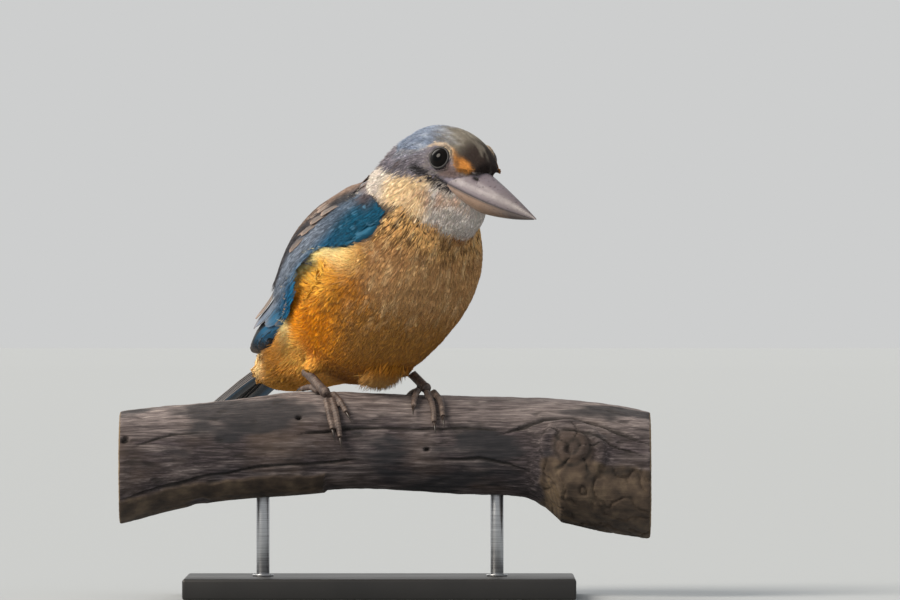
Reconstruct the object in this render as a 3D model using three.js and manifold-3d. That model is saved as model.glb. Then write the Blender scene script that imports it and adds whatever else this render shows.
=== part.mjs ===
// A sacred kingfisher (Todiramphus sanctus), life size, gripping a cut length of dead branch that two short
// rods carry over a flat display base.
//
// Millimetres. +X runs along the branch, +Z is up, and the origin is the middle of the base's underside.
// The bird is built in a frame of its own: x forward, y to its left and z up from the top of the perch.

import * as THREE from "three";
import { mergeVertices } from "three/addons/utils/BufferGeometryUtils.js";
import Module from "manifold-3d";

const wasm = await Module();
wasm.setup();

const { degToRad, lerp, smoothstep } = THREE.MathUtils;
const spot = (x, y, z) => new THREE.Vector3(x, y, z);

// ---------------------------------------------------------------------------------------------------------
// Driving sizes
// ---------------------------------------------------------------------------------------------------------

const GAP = 0.3; // clearance that touching pieces keep
const SMALLEST_EDGE = 0.02; // slivers left by cuts are closed up to this
const PERCH_TOP = 77.5; // height of the top of the perch between the feet
const HEADING = degToRad(50); // how far the bird's front is turned from +X towards -Y
const BIRD_X = -1.9; // where the bird's own origin stands along the perch

// ---------------------------------------------------------------------------------------------------------
// Making and joining solids
// ---------------------------------------------------------------------------------------------------------

function signedVolume(positions, triangles) {
  let sum = 0;
  const corner = (i) => spot(...positions.subarray(3 * i, 3 * i + 3));
  for (let i = 0; i < triangles.length; i += 3) {
    const [a, b, c] = [0, 1, 2].map((k) => corner(triangles[i + k]));
    sum += a.dot(b.cross(c));
  }
  return sum;
}

// A closed three.js geometry as a solid that faces outwards, whichever way it was wound.
function solidOf(geometry) {
  const bare = geometry.clone();
  bare.deleteAttribute("normal");
  bare.deleteAttribute("uv");
  const merged = mergeVertices(bare, 1e-4);
  const positions = merged.attributes.position.array;
  const index = Array.from(merged.index.array);
  const whole = [];
  for (let i = 0; i < index.length; i += 3) {
    const [a, b, c] = index.slice(i, i + 3);
    if (a !== b && b !== c && c !== a) whole.push(a, b, c);
  }
  const triVerts = Uint32Array.from(whole);
  if (signedVolume(positions, triVerts) < 0) triVerts.reverse();
  return new wasm.Manifold(new wasm.Mesh({ numProp: 3, vertProperties: positions, triVerts }));
}

function geometryOf(solid) {
  const { numProp, vertProperties, triVerts } = solid.getMesh();
  const count = vertProperties.length / numProp;
  const positions = new Float32Array(count * 3);
  for (let i = 0; i < count; i++) {
    positions.set(vertProperties.subarray(i * numProp, i * numProp + 3), i * 3);
  }
  const geometry = new THREE.BufferGeometry();
  geometry.setAttribute("position", new THREE.BufferAttribute(positions, 3));
  geometry.setIndex(new THREE.BufferAttribute(new Uint32Array(triVerts), 1));
  geometry.computeVertexNormals();
  return geometry;
}

// The largest closed surface of a solid, without loose scraps or sealed hollows.
function largest(solid) {
  return solid.decompose().reduce((best, body) => (body.volume() > best.volume() ? body : best));
}

const join = (...solids) => largest(wasm.Manifold.union(solids));
const cut = (solid, ...tools) => largest(solid.subtract(wasm.Manifold.union(tools)));
const mirrored = (solid) => solid.mirror([0, 1, 0]);

function closedGeometry(points, triangles) {
  const geometry = new THREE.BufferGeometry().setFromPoints(points);
  geometry.setIndex(triangles);
  return geometry;
}

// A closed skin over `steps` + 1 rings of `around` points. place(along, angle) runs along from 0 to 1.
function loft(around, steps, place) {
  const points = [];
  const triangles = [];
  for (let i = 0; i <= steps; i++) {
    for (let j = 0; j < around; j++) points.push(place(i / steps, (j / around) * 2 * Math.PI));
  }
  const at = (i, j) => i * around + (j % around);
  for (let i = 0; i < steps; i++) {
    for (let j = 0; j < around; j++) {
      triangles.push(at(i, j), at(i + 1, j), at(i + 1, j + 1), at(i, j), at(i + 1, j + 1), at(i, j + 1));
    }
  }
  for (const ring of [0, steps]) {
    const middle = spot(0, 0, 0);
    for (let j = 0; j < around; j++) middle.addScaledVector(points[at(ring, j)], 1 / around);
    points.push(middle);
    for (let j = 0; j < around; j++) {
      const pair = ring ? [at(ring, j), at(ring, j + 1)] : [at(ring, j + 1), at(ring, j)];
      triangles.push(points.length - 1, ...pair.reverse());
    }
  }
  return solidOf(closedGeometry(points, triangles));
}

// A round bar along a smooth line through `stops`, with radius(along) and as many sides as `around`.
function bar(stops, radius, around, steps) {
  const line = new THREE.CatmullRomCurve3(stops);
  const frames = line.computeFrenetFrames(steps, false);
  return loft(around, steps, (along, angle) => {
    const i = Math.round(along * steps);
    return line
      .getPoint(along)
      .addScaledVector(frames.normals[i], Math.cos(angle) * radius(along))
      .addScaledVector(frames.binormals[i], Math.sin(angle) * radius(along));
  });
}

// The same stops with both end ones pushed outwards by `grow`.
function stretched(stops, grow) {
  const pushed = (end, next) => end.clone().addScaledVector(end.clone().sub(next).normalize(), grow);
  return [pushed(stops[0], stops[1]), ...stops.slice(1, -1), pushed(stops.at(-1), stops.at(-2))];
}

// A closed slab between two sheets of (steps + 1) x (rows + 1) points, split into triangles alike on both.
function slab(steps, rows, top, bottom) {
  const points = [];
  for (const sheet of [top, bottom]) {
    for (let i = 0; i <= steps; i++) {
      for (let j = 0; j <= rows; j++) points.push(sheet(i / steps, j / rows));
    }
  }
  const under = (steps + 1) * (rows + 1);
  const at = (i, j) => i * (rows + 1) + j;
  const triangles = [];
  const quad = (a, b, c, d) => triangles.push(a, b, c, a, c, d);
  for (let i = 0; i < steps; i++) {
    for (let j = 0; j < rows; j++) {
      quad(at(i, j), at(i + 1, j), at(i + 1, j + 1), at(i, j + 1));
      const [a, b, c, d] = [at(i, j), at(i + 1, j), at(i + 1, j + 1), at(i, j + 1)].map((k) => k + under);
      triangles.push(a, c, b, a, d, c);
    }
    quad(at(i, 0), at(i, 0) + under, at(i + 1, 0) + under, at(i + 1, 0));
    quad(at(i + 1, rows), at(i + 1, rows) + under, at(i, rows) + under, at(i, rows));
  }
  for (let j = 0; j < rows; j++) {
    quad(at(0, j + 1), at(0, j + 1) + under, at(0, j) + under, at(0, j));
    quad(at(steps, j), at(steps, j) + under, at(steps, j + 1) + under, at(steps, j + 1));
  }
  return solidOf(closedGeometry(points, triangles));
}

// ---------------------------------------------------------------------------------------------------------
// Feathers: flat tapered vanes
// ---------------------------------------------------------------------------------------------------------

const VANE_THICK = 0.55;
const TIP_STARTS = 0.7;
const TIP_STOPS = [0.88, 0.96, 1]; // rings close together where the tip rounds off

// Half the vane's width at `along`, as a share of its widest: narrow at the root and round at the tip.
function vaneOutline(along) {
  const root = lerp(0.55, 1, smoothstep(along, 0, 0.35));
  const tip = Math.max(0, (along - TIP_STARTS) / (1 - TIP_STARTS));
  return root * Math.max(0.25, Math.sqrt(1 - tip * tip));
}

// frameAt(along) gives the middle of the vane with its unit directions `across` and `up`. The vane is ringed at
// each of `shares` of its length and at its tip.
function vane(halfWidth, shares, frameAt) {
  const stops = [...shares, ...TIP_STOPS].map((along) => {
    return { ...frameAt(along), half: halfWidth * vaneOutline(along) };
  });
  const last = stops.length - 1;
  const face = (height) => (along, side) => {
    const { middle, across, up, half } = stops[Math.round(along * last)];
    return middle.clone().addScaledVector(across, lerp(-half, half, side)).addScaledVector(up, height);
  };
  return slab(last, 1, face(VANE_THICK / 2), face(-VANE_THICK / 2));
}

// ---------------------------------------------------------------------------------------------------------
// The plumage outline: one smooth shape round the head, neck, breast, belly and rump
// ---------------------------------------------------------------------------------------------------------

// Each mass is an ellipsoid: its middle, its half-lengths along, across and through the body, and its pitch.
const MASSES = [
  { name: "crown", at: [49.5, 0, 88.9], half: [21.5, 13, 12.6], pitch: -27 },
  { name: "nape", at: [32.8, 0, 85.7], half: [14.7, 15.3, 16.3], pitch: 40 },
  { name: "cheeks", at: [41, 0, 84], half: [14, 16.6, 12], pitch: -10 },
  { name: "throat", at: [50, 0, 71.6], half: [11.8, 9.5, 12.1], pitch: 60 },
  { name: "neck", at: [25.6, 0, 73.8], half: [17.4, 20.9, 20.1], pitch: 56 },
  { name: "breast", at: [18, 0, 50.3], half: [34.3, 30, 28.9], pitch: 55 },
  { name: "belly", at: [-2.3, 0, 40.1], half: [38.6, 29.1, 34.8], pitch: 42 },
  { name: "rump", at: [-35.3, 0, 25.9], half: [25.8, 18.8, 14.2], pitch: 27 },
  { name: "vent", at: [-46.7, 0, 8.5], half: [28, 15, 7.5], pitch: 3 },
];
const BLEND = 9; // how widely neighbouring masses flow into each other

function massDistance({ at, half, pitch }, p) {
  const c = Math.cos(degToRad(pitch));
  const s = Math.sin(degToRad(pitch));
  const [x, y, z] = [p.x - at[0], p.y - at[1], p.z - at[2]];
  const local = [x * c + z * s, y, z * c - x * s];
  const near = Math.hypot(...local.map((v, i) => v / half[i]));
  const steep = Math.hypot(...local.map((v, i) => v / half[i] ** 2));
  return steep ? (near * (near - 1)) / steep : -Math.min(...half);
}

function smoothMin(a, b) {
  const h = Math.max(BLEND - Math.abs(a - b), 0) / BLEND;
  return Math.min(a, b) - (h * h * BLEND) / 4;
}

const plumageDistance = (p) => MASSES.map((mass) => massDistance(mass, p)).reduce(smoothMin);

// The point where a ray from inside leaves the plumage, grown outwards by `grow`.
function leavePlumage(from, direction, grow) {
  let inside = 0;
  let outside = 1;
  while (plumageDistance(from.clone().addScaledVector(direction, outside)) < grow) {
    inside = outside;
    outside += 2;
  }
  for (let i = 0; i < 18; i++) {
    const middle = (inside + outside) / 2;
    if (plumageDistance(from.clone().addScaledVector(direction, middle)) < grow) inside = middle;
    else outside = middle;
  }
  return from.clone().addScaledVector(direction, inside);
}

// The body is sliced by flat pages square to its midplane. Both edges of each page are set in the midplane:
// one on the belly, throat and chin, the other on the back, nape and forehead. The pages fan as the neck bends.
const curve = (stops) => new THREE.CatmullRomCurve3(stops.map(([x, z]) => spot(x, 0, z)));
const FRONT_EDGES = curve([
  [-64, 4],
  [-48, 1],
  [-31, 2],
  [-6, 3],
  [13, 13],
  [30, 28.5],
  [42, 43],
  [47.5, 55.5],
  [51, 58.5],
  [54, 61],
  [56.5, 63],
  [58.8, 64.8],
  [60.8, 66.4],
  [62.5, 67.8],
  [63.8, 69.2],
  [65, 71],
]);
const BACK_EDGES = curve([
  [-69, 13.5],
  [-61, 26.5],
  [-50, 37],
  [-39.5, 48],
  [-30, 60],
  [-16, 69],
  [-4, 76.5],
  [5.5, 82.5],
  [14, 90.5],
  [22.5, 99],
  [33, 105.5],
  [44, 106.7],
  [53.6, 104.8],
  [60.5, 101],
  [65.3, 96],
  [68, 90],
]);
const RUMP_ENDS = 0.5 / 15; // the pages, as shares of the fan, where one part of the body ends
const TORSO_ENDS = 7.5 / 15;
const NECK_ENDS = 9.2 / 15;

// A page's middle with its unit directions towards the back and forwards along the body.
function page(along) {
  const front = FRONT_EDGES.getPoint(along);
  const back = BACK_EDGES.getPoint(along);
  const up = back.clone().sub(front).normalize();
  return { middle: front.lerp(back, 0.52), up, forward: spot(up.z, 0, -up.x) };
}

// The point of the plumage, grown by `grow`, at `angle` round a page from the back towards the bird's left.
function onPage(along, angle, grow, inwards = 0) {
  const { middle, up, forward } = page(along);
  const ray = up.multiplyScalar(Math.cos(angle)).add(spot(0, Math.sin(angle), 0));
  return leavePlumage(middle.addScaledVector(forward, inwards), ray, grow);
}

// The plumage between two pages, held `shift` inside both and grown outwards by `grow`.
function plumage(first, last, around, steps, grow = 0, shift = GAP / 2) {
  return loft(around, steps, (along, angle) => {
    const inwards = along === 0 ? shift : along === 1 ? -shift : 0;
    return onPage(lerp(first, last, along), angle, grow, inwards);
  });
}

// ---------------------------------------------------------------------------------------------------------
// Folded wing: a thin shell over the back and flank that carries four tiers of vanes
// ---------------------------------------------------------------------------------------------------------

// The wing lies over the pages from the shoulder (along 0) to its tip (along 1), and from its upper edge
// (down 0) to its lower edge (down 1). Depths are measured inwards from its smooth outer face.
const SHOULDER_PAGE = 7.3 / 15;
const TIP_PAGE = 0.75 / 15;
const SHELL_ENDS = 0.52;
const UPPER_EDGE = (along) => lerp(26, 50, smoothstep(along, 0.6, 1));
const LOWER_EDGE = (along) => lerp(102, 90, smoothstep(along, 0, 0.35));
function lift(along, down) {
  const middle = lerp(3.2, 1.6, smoothstep(down, 0.55, 1)) * smoothstep(along, 0, 0.16);
  return 0.6 + middle + 2.2 * smoothstep(along, 0.5, 0.9);
}

function onWing(along, down, depth) {
  const angle = lerp(UPPER_EDGE(along), LOWER_EDGE(along), down);
  return onPage(lerp(SHOULDER_PAGE, TIP_PAGE, along), -degToRad(angle), lift(along, down) - depth);
}

// How deep the shell's outer face lies: it drops away under the roots of each tier.
function shellTop(along, down) {
  const edge = 1.2 * Math.pow(Math.abs(2 * down - 1), 6);
  const front = lerp(2.4, 0.5, smoothstep(along, 0, 0.05));
  return edge + front + 2.9 * smoothstep(along, 0.05, 0.2) + 3.1 * smoothstep(along, 0.25, 0.37);
}

const shellBottom = (along) => lerp(5.2, 9.4, smoothstep(along, 0.04, 0.34));

const wingShell = () =>
  slab(
    9,
    6,
    (along, down) => onWing(along * SHELL_ENDS, down, shellTop(along * SHELL_ENDS, down)),
    (along, down) => onWing(along * SHELL_ENDS, down, shellBottom(along * SHELL_ENDS)),
  );

// The room the wing has in the body: from just under the shell to clear of the outermost vanes. With `margin`
// (a share of the wing) and `grow` it is also the bed that the body is hollowed by.
function wingRoom(margin = 0, grow = 0) {
  const over = (share) => share * (1 + 2 * margin) - margin;
  const floor = (along) => shellBottom(along) + 0.05 - 1.6 * smoothstep(along, 0.84, 1) + grow;
  return slab(
    14,
    6,
    (along, down) => onWing(over(along), over(down), -3),
    (along, down) => onWing(over(along), over(down), floor(along)),
  );
}

// Tiers from the outermost in. Each pair is for the first vane, at the lower edge, and the last. Roots and tips
// are [along, down]. The first of the depths holds from a vane's root until `clears`, where the tier above it
// ends, and then eases out to the second.
const TIERS = [
  {
    name: "scapulars",
    count: 3,
    half: 5.2,
    roots: [[0.02, 0.42], [0.02, 0.12]],
    tips: [[0.3, 0.42], [0.43, 0.13]],
    depths: [1.6, -0.8],
    clears: [0.02, 0.02],
  },
  {
    name: "greater coverts",
    count: 6,
    half: 4.4,
    roots: [[0.08, 0.88], [0.08, 0.12]],
    tips: [[0.36, 0.89], [0.46, 0.14]],
    depths: [3.2, 1.3],
    clears: [0.14, 0.14],
  },
  {
    name: "secondaries",
    count: 6,
    half: 4.5,
    roots: [[0.22, 0.86], [0.22, 0.12]],
    tips: [[0.8, 0.74], [0.58, 0.14]],
    depths: [5.1, 1],
    clears: [0.42, 0.42],
  },
  {
    name: "primaries",
    count: 5,
    half: 3.7,
    roots: [[0.36, 0.88], [0.36, 0.4]],
    tips: [[0.985, 0.8], [0.86, 0.3]],
    depths: [6.5, 1.2],
    clears: [0.74, 0.6],
  },
];
const WING_STATIONS = [0.15, 0.22, 0.29, 0.36, 0.43, 0.5, 0.58, 0.66, 0.74, 0.82]; // where every vane is ringed
const SHINGLE = 0.155; // slope across a vane, so that each one's lower edge rides over the next below
const VANE_PITCH = VANE_THICK + 2 * GAP; // from middle to middle of lapping vanes, which are flat on a round wing

const between = ([first, last], share) => {
  return Array.isArray(first) ? first.map((value, i) => lerp(value, last[i], share)) : lerp(first, last, share);
};

// How much deeper each vane of a tier must lie than the one above it where they crowd together.
function crowding({ count, roots, tips }, along) {
  const [low, high] = [0, 1].map((k) => {
    const share = (along - roots[k][0]) / (tips[k][0] - roots[k][0]);
    return lerp(roots[k][1], tips[k][1], Math.min(1, Math.max(0, share)));
  });
  const spacing = (onWing(along, low, 0).distanceTo(onWing(along, high, 0)) / (count - 1));
  return Math.max(0, VANE_PITCH - SHINGLE * spacing);
}

function wingVane(kind, share) {
  const [root, tip, clears] = [kind.roots, kind.tips, kind.clears].map((ends) => between(ends, share));
  const place = (along, down) => {
    const below = (1 - share) * (kind.count - 1) * crowding(kind, along);
    return onWing(along, down, lerp(...kind.depths, smoothstep(along, clears - 0.02, clears + 0.2)) + below);
  };
  const rings = WING_STATIONS.map((along) => (along - root[0]) / (tip[0] - root[0]));
  const shares = [0, ...rings.filter((ring) => ring > 0.08 && ring < 0.82)];
  return vane(kind.half, shares, (ahead) => {
    const [along, down] = between([root, tip], ahead);
    const lengthways = place(along + 0.01, down).sub(place(along - 0.01, down)).normalize();
    const across = place(along, down + 0.02).sub(place(along, down - 0.02)).normalize();
    const outwards = lengthways.clone().cross(across).normalize();
    across.addScaledVector(outwards, SHINGLE).normalize();
    return { middle: place(along, down), across, up: across.clone().cross(lengthways).normalize() };
  });
}

const tier = (kind) => Array.from({ length: kind.count }, (_, i) => wingVane(kind, i / (kind.count - 1)));

// ---------------------------------------------------------------------------------------------------------
// Tail: twelve vanes stacked like a low roof
// ---------------------------------------------------------------------------------------------------------

const TAIL_PITCH = degToRad(-28.4);
const TAIL_BACK = spot(-Math.cos(TAIL_PITCH), 0, Math.sin(TAIL_PITCH));
const TAIL_ROOT = spot(-62.6, 0, 13.8);
const TAIL_LENGTH = 40.7;
const TAIL_STEP = 0.85; // each pair lies this far under the one nearer the middle
const TAIL_ROOF = 0.12; // how steeply the vanes fall away from the middle

function tailVane(pair, side) {
  const across = spot(0, 1, -side * TAIL_ROOF).normalize();
  const up = TAIL_BACK.clone().cross(across).normalize();
  if (up.z < 0) up.negate();
  const level = side > 0 ? 0 : TAIL_STEP * 0.5;
  const centre = pair ? 3.1 + 0.85 * pair : 1.2;
  const length = TAIL_LENGTH - 0.5 * pair * pair * 0.4;
  return vane(3.7, [0, 0.5], (share) => ({
    middle: TAIL_ROOT.clone()
      .addScaledVector(TAIL_BACK, share * length)
      .addScaledVector(across, side * centre * lerp(0.72, 1, share))
      .addScaledVector(up, (pair ? 0 : level) - pair * TAIL_STEP),
    across,
    up,
  }));
}

const tailVanes = () => [0, 1, 2, 3, 4, 5].flatMap((pair) => [tailVane(pair, 1), tailVane(pair, -1)]);

// ---------------------------------------------------------------------------------------------------------
// Bill and face
// ---------------------------------------------------------------------------------------------------------

// The bill's own frame: x along the line of the mouth, y to the bird's left and z up, from between the
// corners of the mouth.
const BILL_ROOT = spot(56.4, 0, 80.6);
const BILL_PITCH = degToRad(19.2);
const BILL_LENGTH = 41.4;
const LOWER_SHORT = 1; // how much sooner the lower half ends

const onBill = (x, y, z) => spot(x, y, z).applyAxisAngle(spot(0, 1, 0), BILL_PITCH).add(BILL_ROOT);
const billHalfWidth = (share) => 0.25 + 10.6 * Math.pow(1 - share, 1.08);
const culmen = (share) => 0.3 + 7.3 * (1 - Math.pow(share, 1.55));
const keel = (share) => 0.3 + 8.1 * (1 - Math.pow(share, 1.9));
const mouthLine = (share) => -1.3 * Math.sin(Math.PI * share);

// One half of the bill: arched from edge to edge away from the mouth, flat along it.
function billHalf(side, grow = 0) {
  const length = BILL_LENGTH - (side < 0 ? LOWER_SHORT : 0) + grow;
  const tallest = side > 0 ? culmen : keel;
  const roundness = side > 0 ? 1.2 : 1.05;
  return loft(18, 10, (along, angle) => {
    const share = Math.pow(along, 0.85);
    const mouth = mouthLine(share) + side * (GAP * 0.72 - grow);
    const reach = side * (tallest(share) + grow) - mouth;
    const arch = angle <= Math.PI ? Math.pow(Math.sin(angle), roundness) : 0;
    return onBill(lerp(-1, length, share), Math.cos(angle) * (billHalfWidth(share) + grow), mouth + reach * arch);
  });
}

const NOSTRIL = { at: [6.6, 4.9, 5.5], half: [1.5, 0.8, 0.8] };

function nostril(side) {
  const pit = new THREE.SphereGeometry(1, 10, 8).scale(...NOSTRIL.half).rotateY(BILL_PITCH);
  const [x, y, z] = NOSTRIL.at;
  return solidOf(pit.translate(...onBill(x, side * y, z).toArray()));
}

// What is taken off the front of the face so that its feathers end round the root of the bill: a block
// whose plan sweeps back from the ridge of the bill to both corners of the mouth.
const FACE_AT_RIDGE = 8.4;
const FACE_SWEEP = 0.07;

function faceCut(shrink) {
  const outline = new THREE.Shape();
  outline.moveTo(60, -14);
  for (let y = -14; y <= 14; y += 2) outline.lineTo(FACE_AT_RIDGE - FACE_SWEEP * y * y + shrink, y);
  outline.lineTo(60, 14);
  const top = 7.2 - shrink;
  const block = new THREE.ExtrudeGeometry(outline, { depth: top + 14, bevelEnabled: false });
  return solidOf(block.translate(0, 0, -14).rotateY(BILL_PITCH).translate(...BILL_ROOT.toArray()));
}

// Eyeball and the raised rim of lid round it, square to the side of the head.
const EYE_AT = [54, 91.4];
const EYE_RADIUS = 5;
const EYE_BULGE = 1.5; // how far the ball stands out of the plumage
const LID = { radius: 4.5, height: 0.6, bevel: 0.4, depth: 2.5 };

function eyeFrame() {
  const [x, z] = EYE_AT;
  const surface = leavePlumage(spot(x, 0, z), spot(0, 1, 0), 0);
  const slope = (step) => plumageDistance(surface.clone().add(step)) - plumageDistance(surface.clone().sub(step));
  const axis = spot(slope(spot(0.1, 0, 0)), slope(spot(0, 0.1, 0)), slope(spot(0, 0, 0.1))).normalize();
  return { surface, axis, middle: surface.clone().addScaledVector(axis, EYE_BULGE - EYE_RADIUS) };
}

function eyeball(grow = 0) {
  const ball = new THREE.SphereGeometry(EYE_RADIUS + grow, 18, 11);
  return solidOf(ball.translate(...eyeFrame().middle.toArray()));
}

function lid() {
  const { surface, axis } = eyeFrame();
  const { radius, height, bevel, depth } = LID;
  const profile = [[0, -depth], [radius, -depth], [radius, height - bevel], [radius - bevel, height], [0, height]];
  const rim = new THREE.LatheGeometry(profile.map(([x, y]) => new THREE.Vector2(x, y)), 18);
  rim.applyQuaternion(new THREE.Quaternion().setFromUnitVectors(spot(0, 1, 0), axis));
  return solidOf(rim.translate(...surface.toArray()));
}

// ---------------------------------------------------------------------------------------------------------
// Perch: a weathered branch cut square at both ends, with a knot on its front
// ---------------------------------------------------------------------------------------------------------

// Stops along the branch: distance along X, height of its middle and its radius.
const PERCH_STOPS = [
  [-100, 50.4, 21.3],
  [-69, 55.8, 19],
  [-31, 59.2, 19.4],
  [-8, 59.8, 18.5],
  [23, 58.5, 18.8],
  [54, 57.7, 19.2],
  [70, 55.8, 20.5],
  [85, 53.4, 21.4],
  [104, 50.2, 21.4],
];
const PERCH_LINE = new THREE.CatmullRomCurve3(PERCH_STOPS.map((stop) => spot(...stop)));
const KNOT = { x: 74, angle: degToRad(88), reach: 9, height: 4 };
const BARK = { starts: 61, full: 68, depth: 6 }; // the plate of old bark left under the thick end

function perchAt(x) {
  let [low, high] = [0, 1];
  for (let i = 0; i < 16; i++) {
    const middle = (low + high) / 2;
    if (PERCH_LINE.getPoint(middle).x < x) low = middle;
    else high = middle;
  }
  const stop = PERCH_LINE.getPoint(low);
  return { height: stop.y, radius: stop.z };
}

// A point `above` the bark at x. The angle runs from the top (0) over the front (a right angle) to the bottom.
function onPerch(x, angle, above = 0) {
  const { height, radius } = perchAt(x);
  const flutes = 1 + 0.016 * Math.cos(3 * angle + x / 38) + 0.009 * Math.cos(7 * angle - x / 21);
  const across = Math.atan2(Math.sin(angle - KNOT.angle), Math.cos(angle - KNOT.angle)) * radius;
  const knotDistance = Math.hypot(x - KNOT.x, across) / KNOT.reach;
  const knot = KNOT.height * Math.exp(-knotDistance * knotDistance) * Math.min(1, 0.45 + knotDistance);
  const reach = radius * flutes + knot + above;
  const round = THREE.MathUtils.euclideanModulo(angle, 2 * Math.PI);
  const under = smoothstep(round, degToRad(95), degToRad(125)) - smoothstep(round, degToRad(215), degToRad(245));
  const bark = BARK.depth * smoothstep(x, BARK.starts, BARK.full) * under;
  const out = reach + bark;
  return spot(x, -Math.sin(angle) * out, height + Math.cos(angle) * out);
}

const perch = (grow = 0) =>
  loft(28, 30, (along, angle) => onPerch(lerp(PERCH_STOPS[0][0], PERCH_STOPS.at(-1)[0], along), angle, grow));

// ---------------------------------------------------------------------------------------------------------
// Legs and feet
// ---------------------------------------------------------------------------------------------------------

// Toes start at the foot and lie over the perch. Stops are [x, degrees over the perch from its top].
const FEET = {
  right: {
    knee: spot(-16, 3, 98),
    ankle: spot(-28.2, 0.5, 86.4),
    foot: [-21.2, 27],
    toes: {
      outer: { from: [-20.6, 38], to: [-18.1, 75], over: [-19.4, 57] },
      middle: { from: [-18.6, 36.5], to: [-15.2, 84], over: [-16.4, 60] },
      inner: { from: [-18, 27], to: [-12.9, 55], over: [-15, 42] },
      hind: { from: [-23.8, 19], to: [-30, -14], over: [-27, 3] },
    },
  },
  left: {
    knee: spot(3, 9, 99),
    ankle: spot(11.8, 9.6, 86.2),
    foot: [17.6, 3],
    toes: {
      outer: { from: [20.6, 12], to: [24.2, 57], over: [23.4, 34] },
      middle: { from: [17.9, 14.5], to: [20.9, 64], over: [20.2, 40] },
      inner: { from: [14.6, 9], to: [13, 44], over: [13.4, 27] },
      hind: { from: [15, -3.5], to: [9.5, -38], over: [12, -20] },
    },
  },
};
const TOE_RADIUS = 1.25;
const TARSUS_RADIUS = 1.75;
const CLAW_LENGTH = 5;
const BARK_GAP = 0.52; // the feet's clearance over the bark's smooth shape, whose facets stand a little out of it

const overPerch = ([x, degrees], above) => onPerch(x, degToRad(degrees), above);

function tarsus({ ankle, foot }, grow = 0) {
  const root = overPerch(foot, BARK_GAP + TARSUS_RADIUS + 0.35);
  const shin = bar(stretched([ankle, ankle.clone().lerp(root, 0.5), root], grow), () => TARSUS_RADIUS + grow, 10, 4);
  const pad = new THREE.SphereGeometry(TARSUS_RADIUS + 0.35 + grow, 10, 6).translate(...root.toArray());
  const joint = new THREE.SphereGeometry(TARSUS_RADIUS + 0.3 + grow, 10, 6).translate(...ankle.toArray());
  return join(shin, solidOf(pad), solidOf(joint));
}

// The feathered thigh, which only just clears the belly.
function thigh({ knee, ankle }, grow = 0) {
  const stops = stretched([knee, knee.clone().lerp(ankle, 0.5), ankle], grow);
  return bar(stops, (along) => lerp(8, 3.6, along) * (along > 0.9 ? 0.7 : 1) + grow, 12, 6);
}

function toe({ from, over, to }, grow = 0) {
  const stops = [from, over, to].map((stop) => overPerch(stop, TOE_RADIUS + BARK_GAP));
  return bar(stretched(stops, grow), (along) => TOE_RADIUS * lerp(1, 0.8, along) + grow, 8, 7);
}

// The claw carries on from the end of its toe and bends down to the bark.
function claw({ over, to }) {
  const [before, end] = [over, to].map((stop) => overPerch(stop, TOE_RADIUS + BARK_GAP));
  const onwards = end.clone().sub(before).normalize();
  const outwards = overPerch(to, 5).sub(overPerch(to, 0)).normalize();
  const at = (ahead, above) => end.clone().addScaledVector(onwards, ahead).addScaledVector(outwards, above);
  const root = GAP * 1.35;
  const stops = [at(root, 0.1), at(root + CLAW_LENGTH * 0.5, 0.35), at(root + CLAW_LENGTH, -0.4)];
  return bar(stops, (along) => lerp(0.85, 0.16, along), 6, 4);
}

// ---------------------------------------------------------------------------------------------------------
// Display stand
// ---------------------------------------------------------------------------------------------------------

const BASE = { length: 150, width: 86, height: 8, corner: 12, chamfer: 1 };
const ROD = { apart: 90, radius: 2.5 };

function standBase() {
  const { length, width, height, corner, chamfer } = BASE;
  const [x, y] = [length / 2 - chamfer - corner, width / 2 - chamfer - corner];
  const outline = new THREE.Shape();
  outline.absarc(x, y, corner, 0, Math.PI / 2);
  outline.absarc(-x, y, corner, Math.PI / 2, Math.PI);
  outline.absarc(-x, -y, corner, Math.PI, Math.PI * 1.5);
  outline.absarc(x, -y, corner, Math.PI * 1.5, Math.PI * 2);
  const bevel = { bevelThickness: chamfer, bevelSize: chamfer, bevelSegments: 1, curveSegments: 6 };
  const plate = new THREE.ExtrudeGeometry(outline, { depth: height - 2 * chamfer, ...bevel });
  return solidOf(plate.translate(0, 0, chamfer));
}

function standRod(x) {
  const [low, high] = [BASE.height + GAP, perchAt(x).height];
  const rod = new THREE.CylinderGeometry(ROD.radius, ROD.radius, high - low, 24).rotateX(Math.PI / 2);
  return solidOf(rod.translate(x, 0, (low + high) / 2));
}

// ---------------------------------------------------------------------------------------------------------
// The object
// ---------------------------------------------------------------------------------------------------------

const MATERIALS = {
  crown: new THREE.MeshStandardMaterial({ color: "#46545a", roughness: 0.85 }),
  collar: new THREE.MeshStandardMaterial({ color: "#e2cfa6", roughness: 0.95 }),
  underparts: new THREE.MeshStandardMaterial({ color: "#d0913c", roughness: 0.95 }),
  wing: new THREE.MeshStandardMaterial({ color: "#2c6f8c", roughness: 0.7 }),
  tail: new THREE.MeshStandardMaterial({ color: "#3c5f74", roughness: 0.75 }),
  bill: new THREE.MeshStandardMaterial({ color: "#6f6a72", roughness: 0.45 }),
  bill_below: new THREE.MeshStandardMaterial({ color: "#b49c92", roughness: 0.45 }),
  eye: new THREE.MeshStandardMaterial({ color: "#120d0a", roughness: 0.08 }),
  leg: new THREE.MeshStandardMaterial({ color: "#6d5b56", roughness: 0.6 }),
  claw: new THREE.MeshStandardMaterial({ color: "#2b2523", roughness: 0.4 }),
  perch_wood: new THREE.MeshStandardMaterial({ color: "#6b5f5c", roughness: 0.9 }),
  stand_base: new THREE.MeshStandardMaterial({ color: "#23211f", roughness: 0.5 }),
  stand_rod: new THREE.MeshStandardMaterial({ color: "#9b9c9e", roughness: 0.35, metalness: 0.9 }),
};

const kingfisher = new THREE.Group();
const bird = new THREE.Group();
bird.position.set(BIRD_X, 0, PERCH_TOP);
bird.rotation.z = -HEADING;
kingfisher.add(bird);

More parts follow.
